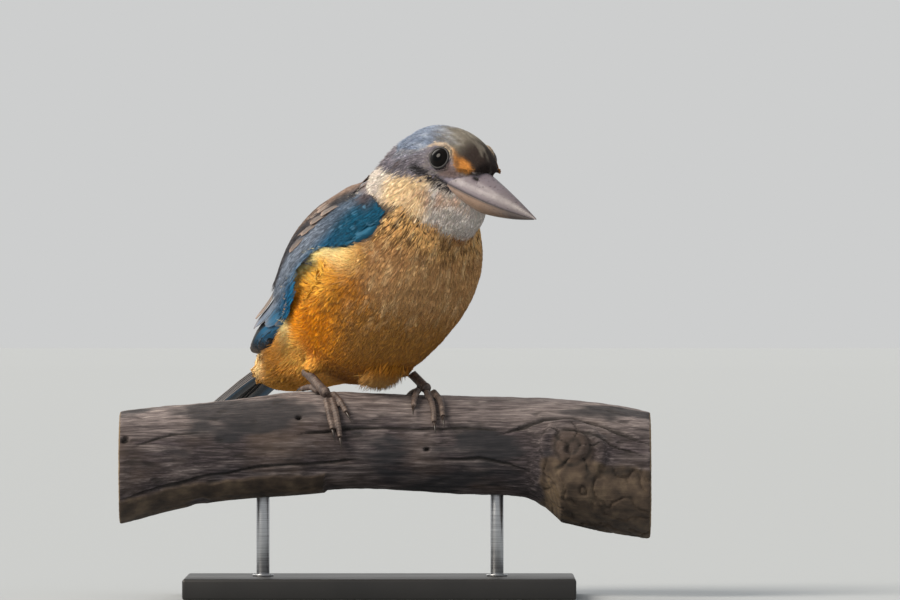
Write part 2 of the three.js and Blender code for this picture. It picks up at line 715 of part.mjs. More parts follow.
function add(group, name, solid, material) {
  const mesh = new THREE.Mesh(geometryOf(solid.simplify(SMALLEST_EDGE)), MATERIALS[material]);
  mesh.name = name;
  mesh.material.name = material;
  group.add(mesh);
}

// Solids moved from the bird's frame to the perch's, and back.
const toPerch = (solid) => solid.rotate([0, 0, -THREE.MathUtils.radToDeg(HEADING)]).translate([BIRD_X, 0, PERCH_TOP]);

const toBird = (solid) => solid.translate([-BIRD_X, 0, -PERCH_TOP]).rotate([0, 0, THREE.MathUtils.radToDeg(HEADING)]);

const legs = Object.values(FEET);
const thighs = legs.map((leg) => toBird(thigh(leg)));
const beds = [wingRoom(0.025, 2 * GAP), mirrored(wingRoom(0.025, 2 * GAP))];
const eye = eyeball();
const sockets = [eyeball(GAP), mirrored(eyeball(GAP))];
const lids = [lid(), mirrored(lid())];
const grownHead = plumage(NECK_ENDS, 1, 28, 12, 1.5 * GAP, -GAP).subtract(faceCut(1.5 * GAP));
const wing = largest(join(wingShell(), ...TIERS.flatMap(tier)).intersect(wingRoom(0, 2)));

add(bird, "tail", join(plumage(0, RUMP_ENDS, 24, 2), ...tailVanes()), "tail");
add(bird, "torso", cut(join(plumage(RUMP_ENDS, TORSO_ENDS, 32, 14), ...thighs), ...beds), "underparts");
add(bird, "neck", plumage(TORSO_ENDS, NECK_ENDS, 28, 3), "collar");
add(bird, "head", cut(join(cut(plumage(NECK_ENDS, 1, 28, 12), faceCut(0)), ...lids), ...sockets), "crown");
add(bird, "bill_upper", cut(billHalf(1), grownHead, nostril(1), nostril(-1)), "bill");
add(bird, "bill_lower", cut(billHalf(-1), grownHead), "bill_below");
add(bird, "eye_left", eye, "eye");
add(bird, "eye_right", mirrored(eye), "eye");
add(bird, "wing_right", wing, "wing");
add(bird, "wing_left", mirrored(wing), "wing");

const legRoom = join(toPerch(plumage(RUMP_ENDS, TORSO_ENDS, 32, 14, GAP, 0)), ...legs.map((leg) => thigh(leg, GAP)));
for (const [side, leg] of Object.entries(FEET)) {
  add(kingfisher, `tarsus_${side}`, cut(tarsus(leg), legRoom), "leg");
  const earlier = [tarsus(leg, GAP)];
  for (const [name, shape] of Object.entries(leg.toes)) {
    add(kingfisher, `toe_${side}_${name}`, cut(toe(shape), ...earlier), "leg");
    add(kingfisher, `claw_${side}_${name}`, claw(shape), "claw");
    earlier.push(toe(shape, GAP));
  }
}

add(kingfisher, "perch", perch(), "perch_wood");
add(kingfisher, "stand_base", standBase(), "stand_base");
for (const [name, x] of [["left", -ROD.apart / 2], ["right", ROD.apart / 2]]) {
  add(kingfisher, `stand_rod_${name}`, cut(standRod(x), perch(GAP)), "stand_rod");
}

export default kingfisher;
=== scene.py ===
"""A sacred kingfisher, life size, gripping a cut length of dead branch on a small display stand."""

import math

import bmesh
import bpy
import numpy as np
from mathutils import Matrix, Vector, noise
from mathutils.bvhtree import BVHTree


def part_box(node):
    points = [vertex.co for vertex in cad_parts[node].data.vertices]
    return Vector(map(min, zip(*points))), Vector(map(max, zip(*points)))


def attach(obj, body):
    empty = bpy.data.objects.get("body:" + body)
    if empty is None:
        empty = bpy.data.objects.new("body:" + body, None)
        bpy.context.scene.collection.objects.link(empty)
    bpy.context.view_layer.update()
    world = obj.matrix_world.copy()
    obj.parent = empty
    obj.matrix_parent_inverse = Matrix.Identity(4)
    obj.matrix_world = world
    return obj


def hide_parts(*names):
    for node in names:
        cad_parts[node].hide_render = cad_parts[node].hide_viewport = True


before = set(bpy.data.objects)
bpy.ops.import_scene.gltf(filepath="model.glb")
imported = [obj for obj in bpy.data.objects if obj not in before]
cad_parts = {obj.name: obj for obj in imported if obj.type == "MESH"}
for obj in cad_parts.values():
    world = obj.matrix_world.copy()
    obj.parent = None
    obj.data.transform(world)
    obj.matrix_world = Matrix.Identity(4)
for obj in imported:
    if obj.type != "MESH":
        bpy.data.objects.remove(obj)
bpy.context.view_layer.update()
bpy.ops.object.select_all(action="DESELECT")

# ---------------------------------------------------------------------------------------------------------
# Studio: a pale floor under a pale sky, a large soft key high on the left and a weaker light behind it. Both
# are far off, so the floor is lit evenly. A long lens stands level with the bird, nearly four metres away.
# ---------------------------------------------------------------------------------------------------------


def linear(hexa):
    """An sRGB hex colour as the linear values that shaders take."""
    parts = [int(hexa[i : i + 2], 16) / 255 for i in (1, 3, 5)]
    return [c / 12.92 if c <= 0.04045 else ((c + 0.055) / 1.055) ** 2.4 for c in parts]


def feed(target, inputs):
    """Sets a node's sockets, by name or number, each to a link, a hex colour or a plain value."""
    for name, value in inputs.items():
        socket = target.inputs[name]
        if isinstance(value, bpy.types.NodeSocket):
            target.id_data.links.new(value, socket)
        elif isinstance(value, str):
            socket.default_value = (*linear(value), 1)
        else:
            socket.default_value = value


def node(tree, kind, inputs=None, stops=None, **settings):
    """Adds a shader node with its settings, its values and links, and the stops of a ramp."""
    made = tree.nodes.new("ShaderNode" + kind)
    for name, value in settings.items():
        setattr(made, name, value)
    if stops:
        ramp = made.color_ramp.elements
        while len(ramp) < len(stops):
            ramp.new(0.5)
        for element, (position, hexa) in zip(ramp, stops):
            element.position = position
            element.color = (*linear(hexa), 1)
    feed(made, inputs or {})
    return made


def material(name):
    """A new material: its node tree and its bare Principled shader."""
    made = bpy.data.materials.new(name)
    made.use_nodes = True
    return made, made.node_tree, made.node_tree.nodes["Principled BSDF"]


def floor_paint():
    """Matt pale grey floor paint, very slightly uneven."""
    made, tree, shader = material("matt_floor_paint")
    cloud = node(tree, "TexNoise", {"Scale": 3.0, "Detail": 2.0}).outputs["Fac"]
    shade = node(tree, "ValToRGB", {"Fac": cloud}, stops=[(0.3, "#a8adb1"), (0.7, "#abb0b4")])
    feed(shader, {"Base Color": shade.outputs["Color"], "Roughness": 0.9})
    return made


bpy.ops.mesh.primitive_plane_add(size=40, location=(0, 0, 0))
floor = bpy.context.object
floor.name = "floor"
floor.data.materials.append(floor_paint())

LENS_MM = 400
CAMERA_AT = (0.02692, -3.84615, 0.11423)
bpy.ops.object.camera_add(location=CAMERA_AT, rotation=(math.pi / 2, 0, 0))
camera = bpy.context.object
camera.data.lens = LENS_MM
camera.data.sensor_width = 36
camera.data.clip_end = 60
bpy.context.scene.camera = camera

LIGHTS = {
    "key": {"from": (-0.8, -0.55, 0.75), "spread": 30, "power": 3.3, "colour": "#fff4e4"},
    "back": {"from": (-0.55, 0.8, 0.7), "spread": 40, "power": 1.0, "colour": "#fff8ee"},
}
for name, light in LIGHTS.items():
    bpy.ops.object.light_add(type="SUN", location=light["from"])
    lamp = bpy.context.object
    lamp.name = name
    lamp.rotation_euler = Vector(light["from"]).to_track_quat("Z", "Y").to_euler()
    lamp.data.angle = math.radians(light["spread"])
    lamp.data.energy = light["power"]
    lamp.data.color = linear(light["colour"])

world = bpy.data.worlds.new("studio")
bpy.context.scene.world = world
world.use_nodes = True
feed(world.node_tree.nodes["Background"], {"Color": "#e9eaea", "Strength": 0.75})
bpy.context.scene.view_settings.view_transform = "Standard"

# ---------------------------------------------------------------------------------------------------------
# Stand base: a small board of medium-density fibreboard with rounded corners and eased edges, sprayed with
# black satin lacquer and rubbed back by hand.
# ---------------------------------------------------------------------------------------------------------

MM = 0.001


def deselect():
    bpy.ops.object.select_all(action="DESELECT")


def active(piece):
    """Makes one piece the only selected and active one."""
    deselect()
    piece.select_set(True)
    bpy.context.view_layer.objects.active = piece
    return piece


def modified(piece, kind, **settings):
    """Adds a modifier with its settings and applies it."""
    active(piece)
    modifier = piece.modifiers.new(kind.lower(), kind)
    for name, value in settings.items():
        setattr(modifier, name, value)
    bpy.ops.object.modifier_apply(modifier=modifier.name)
    return piece


def placed(piece):
    """Puts the piece's place into its mesh."""
    active(piece)
    bpy.ops.object.transform_apply(location=True, rotation=True, scale=True)
    return piece


def smoothed(piece, degrees=None):
    """Shades a piece smooth: all over, or only where its faces meet at less than so many degrees."""
    active(piece)
    if degrees is None:
        bpy.ops.object.shade_smooth()
    else:
        bpy.ops.object.shade_smooth_by_angle(angle=math.radians(degrees))
    return piece


def finish(piece, name, finish_material, slot, *nodes):
    """Names a piece, gives it its finish and lets it stand for its CAD nodes."""
    piece.name = name
    piece.data.name = name
    piece.data.materials.clear()
    piece.data.materials.append(finish_material)
    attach(piece, "root")
    if nodes:
        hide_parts(*nodes)
    return piece


def lacquer():
    """Black satin lacquer: slow orange peel about 4 mm across, and a soft gloss that shows light handling."""
    made, tree, shader = material("black_satin_lacquer")
    place = node(tree, "TexCoord").outputs["Object"]
    peel = node(tree, "TexNoise", {"Vector": place, "Scale": 250.0, "Detail": 2.0}).outputs["Fac"]
    wipes = node(tree, "TexNoise", {"Vector": place, "Scale": 30.0, "Detail": 5.0}).outputs["Fac"]
    tone = node(tree, "ValToRGB", {"Fac": wipes}, stops=[(0.3, "#161514"), (0.75, "#22201f")])
    gloss = node(tree, "MapRange", {"Value": wipes, "To Min": 0.3, "To Max": 0.48})
    bump = node(tree, "Bump", {"Height": peel, "Strength": 0.08, "Distance": 0.0002})
    feed(shader, {"Base Color": tone.outputs["Color"], "Roughness": gloss.outputs["Result"],
                  "Normal": bump.outputs["Normal"], "IOR": 1.5})
    return made


CORNER = 12 * MM  # the radius of the base's corners
EASE = 1.0 * MM  # and of its edges

low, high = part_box("stand_base")
size = high - low
bpy.ops.mesh.primitive_cube_add(size=1, location=(low + high) / 2, scale=size)
base = placed(bpy.context.object)
bpy.ops.object.mode_set(mode="EDIT")
bm = bmesh.from_edit_mesh(base.data)
for edge in bm.edges:
    first, second = edge.verts
    edge.select = abs(first.co.z - second.co.z) > size.z / 2
bm.select_flush_mode()
bmesh.update_edit_mesh(base.data)
bpy.ops.mesh.select_mode(type="EDGE")
bpy.ops.mesh.bevel(offset=CORNER, segments=12)
bpy.ops.object.mode_set(mode="OBJECT")
modified(base, "BEVEL", width=EASE, segments=3, limit_method="ANGLE", angle_limit=math.radians(60))
finish(smoothed(base, 35), "lacquered_base", lacquer(), "stand_base", "stand_base")

# ---------------------------------------------------------------------------------------------------------
# Stand rods: two thin-walled steel tubes, brushed round and round, glued into the base and the perch. A
# flat washer ring covers each hole in the lacquer.
# ---------------------------------------------------------------------------------------------------------


def brushed_steel():
    """Brushed stainless steel: fine rings round the rod, drawn 0.3 mm apart so that they show."""
    made, tree, shader = material("brushed_stainless_steel")
    place = node(tree, "TexCoord").outputs["Object"]
    squeeze = node(tree, "Mapping", {"Vector": place, "Scale": (60, 60, 3300)}).outputs["Vector"]
    rings = node(tree, "TexNoise", {"Vector": squeeze, "Scale": 1.0, "Detail": 3.0}).outputs["Fac"]
    tone = node(tree, "ValToRGB", {"Fac": rings}, stops=[(0.25, "#8f9194"), (0.75, "#c3c5c8")])
    gloss = node(tree, "MapRange", {"Value": rings, "To Min": 0.24, "To Max": 0.42})
    bump = node(tree, "Bump", {"Height": rings, "Strength": 0.15, "Distance": 0.0001})
    feed(shader, {"Base Color": tone.outputs["Color"], "Roughness": gloss.outputs["Result"],
                  "Normal": bump.outputs["Normal"], "Metallic": 1.0})
    return made


steel = brushed_steel()
SINK = 0.7 * MM  # how far a rod goes on into the wood above it
WASHER = {"past the rod": 1.6 * MM, "thick": 0.8 * MM, "height": 8.45 * MM}


def turned(name, radius, depth, place, rounding, *nodes):
    """A round steel piece with eased edges."""
    bpy.ops.mesh.primitive_cylinder_add(vertices=48, radius=radius, depth=depth, location=place)
    piece = placed(bpy.context.object)
    modified(piece, "BEVEL", width=0.25 * MM, segments=rounding, limit_method="ANGLE")
    return finish(smoothed(piece, 40), name, steel, "stand_rod", *nodes)


for side in ("left", "right"):
    name = "stand_rod_" + side
    low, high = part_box(name)
    middle = (low + high) / 2
    height = high.z - low.z + SINK
    radius = (high.x - low.x) / 2
    rod_at = (middle.x, middle.y, low.z + height / 2)
    turned("steel_rod_" + side, radius, height, rod_at, 2, name)
    washer_at = (middle.x, middle.y, WASHER["height"])
    turned("washer_" + side, radius + WASHER["past the rod"], WASHER["thick"], washer_at, 3)

# ---------------------------------------------------------------------------------------------------------
# Perch: a length of dead branch, silvered by weather where the bark has gone, with a knot, long drying
# cracks, dark fungus stains and plates of tan bark left on its underside. Both ends are sawn. The
# silvering is heaviest over the top, where it is also painted light from above; the darker wood below is
# partly painted shade, and the cracks, holes and checks are darkened as painted shade.
# ---------------------------------------------------------------------------------------------------------


def put(name, mesh):
    """A mesh as a new object."""
    piece = bpy.data.objects.new(name, mesh)
    bpy.context.collection.objects.link(piece)
    return piece


def edited(piece, operator, **settings):
    """Runs one of edit mode's operators on the whole of a piece."""
    active(piece)
    bpy.ops.object.mode_set(mode="EDIT")
    bpy.ops.mesh.select_all(action="SELECT")
    operator(**settings)
    bpy.ops.object.mode_set(mode="OBJECT")
    return piece


def joined_copy(*nodes):
    """Merged copies of CAD nodes as one new object."""
    deselect()
    for name in nodes:
        piece = put(name + "_copy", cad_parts[name].data.copy())
        piece.select_set(True)
        bpy.context.view_layer.objects.active = piece
    if len(nodes) > 1:
        bpy.ops.object.join()
    return edited(bpy.context.view_layer.objects.active, bpy.ops.mesh.remove_doubles, threshold=1e-6)


def remeshed(piece, voxel_mm, smoothings, grow_mm=0.0, shrink_mm=0.0):
    """One closed skin round a piece: grown, voxel remeshed, smoothed and drawn in again."""
    if grow_mm:
        modified(piece, "DISPLACE", strength=grow_mm * MM, mid_level=0.0)
    modified(piece, "REMESH", mode="VOXEL", voxel_size=voxel_mm * MM)
    modified(piece, "SMOOTH", factor=0.5, iterations=smoothings)
    if shrink_mm:
        modified(piece, "DISPLACE", strength=-shrink_mm * MM, mid_level=0.0)
    return smoothed(piece)


def read(items, field, width, kind=np.float32):
    """One field of a mesh's corners, faces or loops, as an array with `width` columns."""
    flat = np.empty(len(items) * width, kind)
    items.foreach_get(field, flat)
    return flat.reshape(-1, width)


def corners(piece):
    """A piece's vertices in millimetres."""
    return read(piece.data.vertices, "co", 3).astype(float) / MM


def move_corners(piece, points):
    """Puts a piece's vertices at new places, in millimetres."""
    piece.data.vertices.foreach_set("co", (np.asarray(points) * MM).astype(np.float32).ravel())
    piece.data.update()


def normals(piece):
    """The way a piece's surface faces at each vertex."""
    return read(piece.data.vertex_normals, "vector", 3).astype(float)


def fade(value, start, end):
    """0 before start and 1 after end, with a soft step between."""
    share = np.clip((np.asarray(value, float) - start) / (end - start), 0, 1)
    return share * share * (3 - 2 * share)


def speckle(points, pitch, octaves=3, seed=0.0):
    """Fractal noise about -1 to 1 at each point, whose coarsest lumps are `pitch` millimetres apart."""
    shift = Vector((seed * 17.3, seed * 5.1, -seed * 9.7))
    scaled = points / pitch
    return np.array([noise.fractal(Vector(p) + shift, 0.9, 2.1, octaves) for p in scaled]) * 0.8


def paint(piece, name, values):
    """Stores a number or a linear colour at every vertex."""
    values = np.asarray(values, np.float32)
    if values.ndim == 1:
        piece.data.attributes.new(name, "FLOAT", "POINT").data.foreach_set("value", values)
        return
    colours = np.concatenate([values, np.ones((len(values), 1), np.float32)], axis=1)
    piece.data.attributes.new(name, "FLOAT_COLOR", "POINT").data.foreach_set("color", colours.ravel())


def polyline_distance(points, line):
    """Distance from 2-D points to a broken line."""
    best = np.full(len(points), 1e9)
    for start, end in zip(line, line[1:]):
        start, end = np.array(start, float), np.array(end, float)
        along = np.clip(((points - start) @ (end - start)) / ((end - start) @ (end - start)), 0, 1)
        best = np.minimum(best, np.linalg.norm(points - start - along[:, None] * (end - start), axis=1))
    return best


# The branch's middle height along X. Cracks, knot and holes are laid out by their distance along X and by the
# degrees round the branch from its top over its front.
AXIS_X = [-100, -69, -31, -8, 23, 54, 70, 85, 104]
AXIS_HEIGHT = [50.4, 55.8, 59.2, 59.8, 58.5, 57.7, 55.8, 53.4, 50.2]
CRACKS = [
    {"line": [(-33, 78), (-12, 73), (8, 70), (33, 67), (50, 68)], "width": 0.55, "depth": 1.5},
    {"line": [(44, 75), (55, 64), (63, 55), (74, 52), (88, 58), (104, 66)], "width": 0.7, "depth": 1.6},
    {"line": [(66, 62), (80, 66), (92, 76), (104, 80)], "width": 0.5, "depth": 1.1},
    {"line": [(-100, 128), (-72, 122), (-48, 116), (-26, 112), (-4, 110)], "width": 0.6, "depth": 1.2},
    {"line": [(20, 108), (38, 104), (52, 112), (60, 118)], "width": 0.6, "depth": 1.1},
    {"line": [(-96, 70), (-80, 64), (-66, 66)], "width": 0.45, "depth": 0.8},
    {"line": [(-60, 20), (-34, 14), (-10, 17), (12, 12)], "width": 0.45, "depth": 0.8},
    {"line": [(30, -10), (55, -16), (86, -12)], "width": 0.5, "depth": 0.9},
    {"line": [(-90, 210), (-40, 204), (20, 208), (70, 200)], "width": 0.6, "depth": 1.0},
    {"line": [(-70, 280), (-20, 286), (40, 278), (90, 284)], "width": 0.6, "depth": 1.1},
]
KNOT = {"x": 74, "degrees": 84, "reach": 8.5}
PITH_HEIGHT = 0.0503  # metres: the middle of the sawn ends
MEAN_RADIUS = 20  # millimetres, by which degrees round the branch become millimetres


def round_branch(degrees):
    """How far round the branch a mark lies from its top, in millimetres."""
    return np.radians(degrees) * MEAN_RADIUS


perch = remeshed(joined_copy("perch"), 0.62, 10)
bark_at = corners(perch)
height = np.interp(bark_at[:, 0], AXIS_X, AXIS_HEIGHT)
turn = np.degrees(np.arctan2(-bark_at[:, 1], bark_at[:, 2] - height)) % 360
girth = round_branch(turn)
unrolled = np.stack([bark_at[:, 0], girth], axis=1)
on_side = 1 - fade(np.abs(normals(perch)[:, 0]), 0.5, 0.9)

wander = speckle(bark_at * [0.35, 1, 1], 9, 3, 1)
grain = speckle(bark_at * [0.07, 1, 1], 1.5, 3, 2)
fibres = 1 - np.abs(speckle(bark_at * [0.05, 1, 1] + wander[:, None] * 0.5, 3.2, 3, 3))
lumps = speckle(bark_at, 14, 3, 4)
pits = fade(speckle(bark_at * [0.4, 1, 1], 3.4, 2, 5), 0.28, 0.6)
relief = 0.16 * grain + 0.5 * (fibres - 0.75) + 0.45 * lumps - 0.3 * pits

open_cracks = np.zeros(len(bark_at))
for crack in CRACKS:
    line = [(x, round_branch(degrees)) for x, degrees in crack["line"]]
    wavy = unrolled + np.stack([0 * wander, wander * 1.7], axis=1)
    first, last = line[0][0], line[-1][0]
    taper = np.interp(bark_at[:, 0], [first, first + 9, last - 9, last], [0.2, 1, 1, 0.2])
    gap = 1 - fade(polyline_distance(wavy, line) / (crack["width"] * taper + 0.05), 0.3, 1.3)
    open_cracks = np.maximum(open_cracks, gap * taper)
    relief -= 0.8 * crack["depth"] * gap * taper

# The knot: growth rings round a broken branch stub, with the grain of the wood swept past it.
knot_x = (bark_at[:, 0] - KNOT["x"]) / KNOT["reach"]
knot_y = (girth - round_branch(KNOT["degrees"])) / KNOT["reach"]
knot_reach = np.hypot(knot_x, knot_y * 1.12) + 0.09 * lumps
in_knot = 1 - fade(knot_reach, 0.75, 1.15)
knot_angle = np.arctan2(knot_y, knot_x)
rings = np.sin(knot_reach * 13 + 3.4 * wander + 0.6 * np.sin(2 * knot_angle))
spokes = 1 - fade(np.abs(np.sin(2.5 * knot_angle + 1.4 * wander + 0.4)), 0.02, 0.2)
spokes *= fade(knot_reach, 0.15, 0.4) * (1 - fade(knot_reach, 1.1, 1.5))
relief += in_knot * (0.25 * rings + 1.1 * (1 - fade(knot_reach, 0.2, 1.0)) + 0.8 * lumps)
relief -= in_knot * 1.6 * (1 - fade(np.hypot(knot_x + 0.22, knot_y - 0.1), 0.06, 0.24))
relief -= 0.9 * spokes + 0.8 * np.exp(-(((knot_reach - 1.0) / 0.12) ** 2)) * fade(wander, -0.5, 0.3)
relief += 0.9 * np.exp(-(((knot_reach - 1.3) / 0.2) ** 2))

# Bark: a thick plate under the knotted end and thinner scales along the underside of the other half.
edge_noise = 7 * lumps + 3 * wander
plate = fade(bark_at[:, 0] + edge_noise * 0.5, 60, 62.5) * fade(turn + edge_noise, 92, 98)
plate *= 1 - fade(turn + edge_noise, 236, 244)
scale = (1 - fade(bark_at[:, 0] + edge_noise * 0.6, -22, -20)) * fade(turn + edge_noise, 124, 128)
scale *= 1 - fade(turn + edge_noise, 214, 220)
scale *= fade(speckle(bark_at, 26, 2, 6) + 0.55, 0.1, 0.22)
relief = relief * (1 - 0.65 * np.maximum(plate, scale)) + 0.9 * scale + 0.5 * plate
crazing = np.abs(speckle(bark_at * [1, 1, 0.6], 7.5, 2, 7))
relief -= 0.8 * plate * (1 - fade(crazing, 0.02, 0.09)) * fade(lumps, -0.35, 0.1)

# Old beetle holes: distance along the branch, degrees round it, and width.
BEETLE_HOLES = [(-97.5, 62, 1.3), (-31, 58, 0.9), (18, 95, 0.8)]
holes = np.zeros(len(bark_at))
for x, degrees, wide in BEETLE_HOLES:
    away = np.hypot((bark_at[:, 0] - x) * 0.8, girth - round_branch(degrees))
    holes = np.maximum(holes, 1 - fade(away, wide * 0.6, wide * 1.3))
relief -= 2.2 * holes

# Drying checks in the sawn ends: each runs out from near the pith, from start to reach millimetres from it.
CHECKS = [(25, 0, 17), (100, 2, 13), (160, 0, 19), (232, 1, 12), (300, 3, 20)]
moved = bark_at + normals(perch) * (relief * on_side)[:, None]
ends_at = np.stack([bark_at[:, 1], bark_at[:, 2] - height], axis=1)
checks = np.zeros(len(bark_at))
for degrees, start, reach in CHECKS:
    way = np.array([math.cos(math.radians(degrees)), math.sin(math.radians(degrees))])
    out_along, out_across = ends_at @ way, np.abs(ends_at @ [-way[1], way[0]] + 0.6 * wander)
    open_share = fade(out_along, start, start + 2) * (1 - fade(out_along, reach - 5, reach))
    checks = np.maximum(checks, (1 - fade(out_across, 0.15, 0.6)) * open_share * (1 - on_side))
saw = 0.12 * speckle(bark_at * [0, 0.25, 3.0], 1.6, 2, 8) * (1 - on_side)
moved[:, 0] += saw - 0.5 * checks * np.sign(bark_at[:, 0])
move_corners(perch, moved)

# Painted light: the silvered weathering is made heaviest over the top, so the top also reads as lit from
# above.
painted_top_light = fade(np.cos(np.radians(turn)), 0.2, 0.98)
paint(perch, "SilverAndTopLight", np.clip(painted_top_light * 0.85 + 0.6 * grain + 0.4 * lumps + 0.05, 0, 1) * on_side)
stains = fade(speckle(bark_at * [0.45, 1, 1], 20, 4, 9) + 0.1 * np.cos(np.radians(turn - 95)), 0.12, 0.42)
paint(perch, "Stain", stains * (1 - np.maximum(plate, scale)))
paint(perch, "Bark", np.clip(np.maximum(plate, scale), 0, 1) * on_side)
# Painted shade: cracks, beetle holes, pits, the knot's rings and spokes and the checks in the sawn ends are
# darkened towards near black.
crevice_shade = open_cracks + holes + 0.5 * pits + 0.7 * in_knot * fade(-rings, 0.2, 1) + spokes
paint(perch, "CreviceShade", np.clip(crevice_shade, 0, 1) * on_side + 0.8 * checks)
paint(perch, "Heart", np.clip(in_knot, 0, 1) * on_side)
paint(perch, "Sawn", 1 - on_side)


def dead_wood():
    """Weathered hardwood: grey-lilac where rain has bleached it, heaviest on top, where it is also painted
    light from above; near-black to brown elsewhere, darkened partly as painted shade; tan where bark is left.
    Its fibres run along the branch, 0.7 mm apart and finer; the sawn ends show growth rings 1.4 mm apart."""
    made, tree, shader = material("weathered_dead_wood")
    place = node(tree, "TexCoord").outputs["Object"]
    along = node(tree, "Mapping", {"Vector": place, "Scale": (110, 1500, 1500)}).outputs["Vector"]
    fibre = {"Vector": along, "Scale": 1.0, "Detail": 8.0, "Roughness": 0.65}
    fine = node(tree, "TexNoise", fibre).outputs["Fac"]
    mottle = node(tree, "TexNoise", {"Vector": place, "Scale": 160.0, "Detail": 6.0}).outputs["Fac"]
    patches = node(tree, "TexNoise", {"Vector": place, "Scale": 45.0, "Detail": 4.0}).outputs["Fac"]
    from_pith = node(tree, "Mapping", {"Vector": place, "Location": (0, 0, -PITH_HEIGHT)}).outputs["Vector"]
    growth = {"Vector": from_pith, "Scale": 225.0, "Distortion": 2.2, "Detail": 2.0, "Detail Scale": 2.0}
    ringed = node(tree, "TexWave", growth, wave_type="RINGS", rings_direction="X").outputs["Fac"]
    wood = {
        part: node(tree, "ValToRGB", {"Fac": factor}, stops=stops).outputs["Color"]
        for part, factor, stops in (
            # The body's near-black tones are partly painted shade.
            ("body", fine, [(0.3, "#171314"), (0.5, "#322a2c"), (0.68, "#5c5255")]),
            ("bleached", fine, [(0.3, "#40383a"), (0.55, "#857a78"), (0.72, "#b5aaa2")]),
            ("bark", mottle, [(0.3, "#241c16"), (0.52, "#44372c"), (0.75, "#645544")]),
            ("brown", patches, [(0.35, "#33261f"), (0.65, "#54453a")]),
            ("cut end", ringed, [(0.2, "#7a664c"), (0.8, "#947d5b")]),
        )
    }
    browned = node(tree, "MapRange", {"Value": patches, "From Min": 0.45, "From Max": 0.7, "To Max": 0.55})
    below = {0: browned.outputs["Result"], 6: wood["body"], 7: wood["brown"]}
    colour = node(tree, "Mix", below, data_type="RGBA").outputs[2]
    for mask, strength, above in (
        # Bleached wood, heaviest on top, where it is also painted light from above.
        ("SilverAndTopLight", 1.0, wood["bleached"]),
        ("Stain", 0.82, "#1c1d22"),
        ("Bark", 1.0, wood["bark"]),
        ("Heart", 0.7, wood["brown"]),
        ("Sawn", 1.0, wood["cut end"]),
        # Painted shade in the cracks, holes and checks.
        ("CreviceShade", 0.85, "#17130f"),
    ):
        painted = node(tree, "Attribute", attribute_name=mask).outputs["Fac"]
        share = node(tree, "Math", {0: painted, 1: strength}, operation="MULTIPLY").outputs[0]
        colour = node(tree, "Mix", {0: share, 6: colour, 7: above}, data_type="RGBA").outputs[2]
    both = node(tree, "Math", {0: fine, 1: mottle}, operation="ADD").outputs[0]
    bump = node(tree, "Bump", {"Height": both, "Strength": 0.55, "Distance": 0.0005})
    feed(shader, {"Base Color": colour, "Normal": bump.outputs["Normal"], "Roughness": 0.88})
    return made


finish(perch, "dead_branch", dead_wood(), "perch_wood", "perch")

# ---------------------------------------------------------------------------------------------------------
# Plumage: one skin under the whole bird, and over it the small feathers of the body, each a thin closed vane
# that lies from the bill towards the tail, with finer loose barbs between them that soften every edge.
# ---------------------------------------------------------------------------------------------------------

# The bird's own frame in millimetres: x forward, y to its left, z up from the top of the perch.
BIRD_AT = np.array([-1.9, 0, 77.5])
BIRD_TURN = math.radians(-50)
FORWARD = np.array([math.cos(BIRD_TURN), math.sin(BIRD_TURN), 0])
LEFTWARD = np.array([-math.sin(BIRD_TURN), math.cos(BIRD_TURN), 0])
UPWARD = np.array([0, 0, 1.0])
TO_BIRD = np.stack([FORWARD, LEFTWARD, UPWARD])


def to_bird(points):
    return (points - BIRD_AT) @ TO_BIRD.T


def from_bird(points):
    return points @ TO_BIRD + BIRD_AT


def unit(vectors):
    return vectors / np.maximum(np.linalg.norm(vectors, axis=-1, keepdims=True), 1e-9)


def within(points, outline, soft):
    """1 inside an outline and 0 outside it, for 2-D points, with an edge `soft` wide."""
    closed = [*outline, outline[0]]
    x, y = points.T
    inside = np.zeros(len(points), bool)
    for (x0, y0), (x1, y1) in zip(closed, closed[1:]):
        if y0 != y1:
            inside ^= ((y0 > y) != (y1 > y)) & (x < (x1 - x0) * (y - y0) / (y1 - y0) + x0)
    away = polyline_distance(points, closed)
    return fade(np.where(inside, away, -away), -soft / 2, soft / 2)


# Both edges of the pages that slice the body square to its midplane, from the rump to the bill: (x, z). The
# feathers lie square to the pages nearest to them, towards the tail.
FRONT_EDGES = [(-64, 4), (-48, 1), (-31, 2), (-6, 3), (13, 13), (30, 28.5), (42, 43), (47.5, 55.5),
               (51, 58.5), (54, 61), (56.5, 63), (58.8, 64.8), (60.8, 66.4), (62.5, 67.8), (63.8, 69.2),
               (65, 71)]
BACK_EDGES = [(-69, 13.5), (-61, 26.5), (-50, 37), (-39.5, 48), (-30, 60), (-16, 69), (-4, 76.5),
              (5.5, 82.5), (14, 90.5), (22.5, 99), (33, 105.5), (44, 106.7), (53.6, 104.8), (60.5, 101),
              (65.3, 96), (68, 90)]
THROAT = [(46, 80), (66, 79), (70, 60), (52, 58), (42, 68)]  # where the feathers hang more steeply
FLANK = [(26, 58), (20, 46), (-6, 38), (-14, 24), (-26, 20), (-30, 60)]  # where they sweep up over the wing


def page_middle(front, back):
    """The middle of a page, a little nearer its back edge."""
    return front * 0.48 + back * 0.52


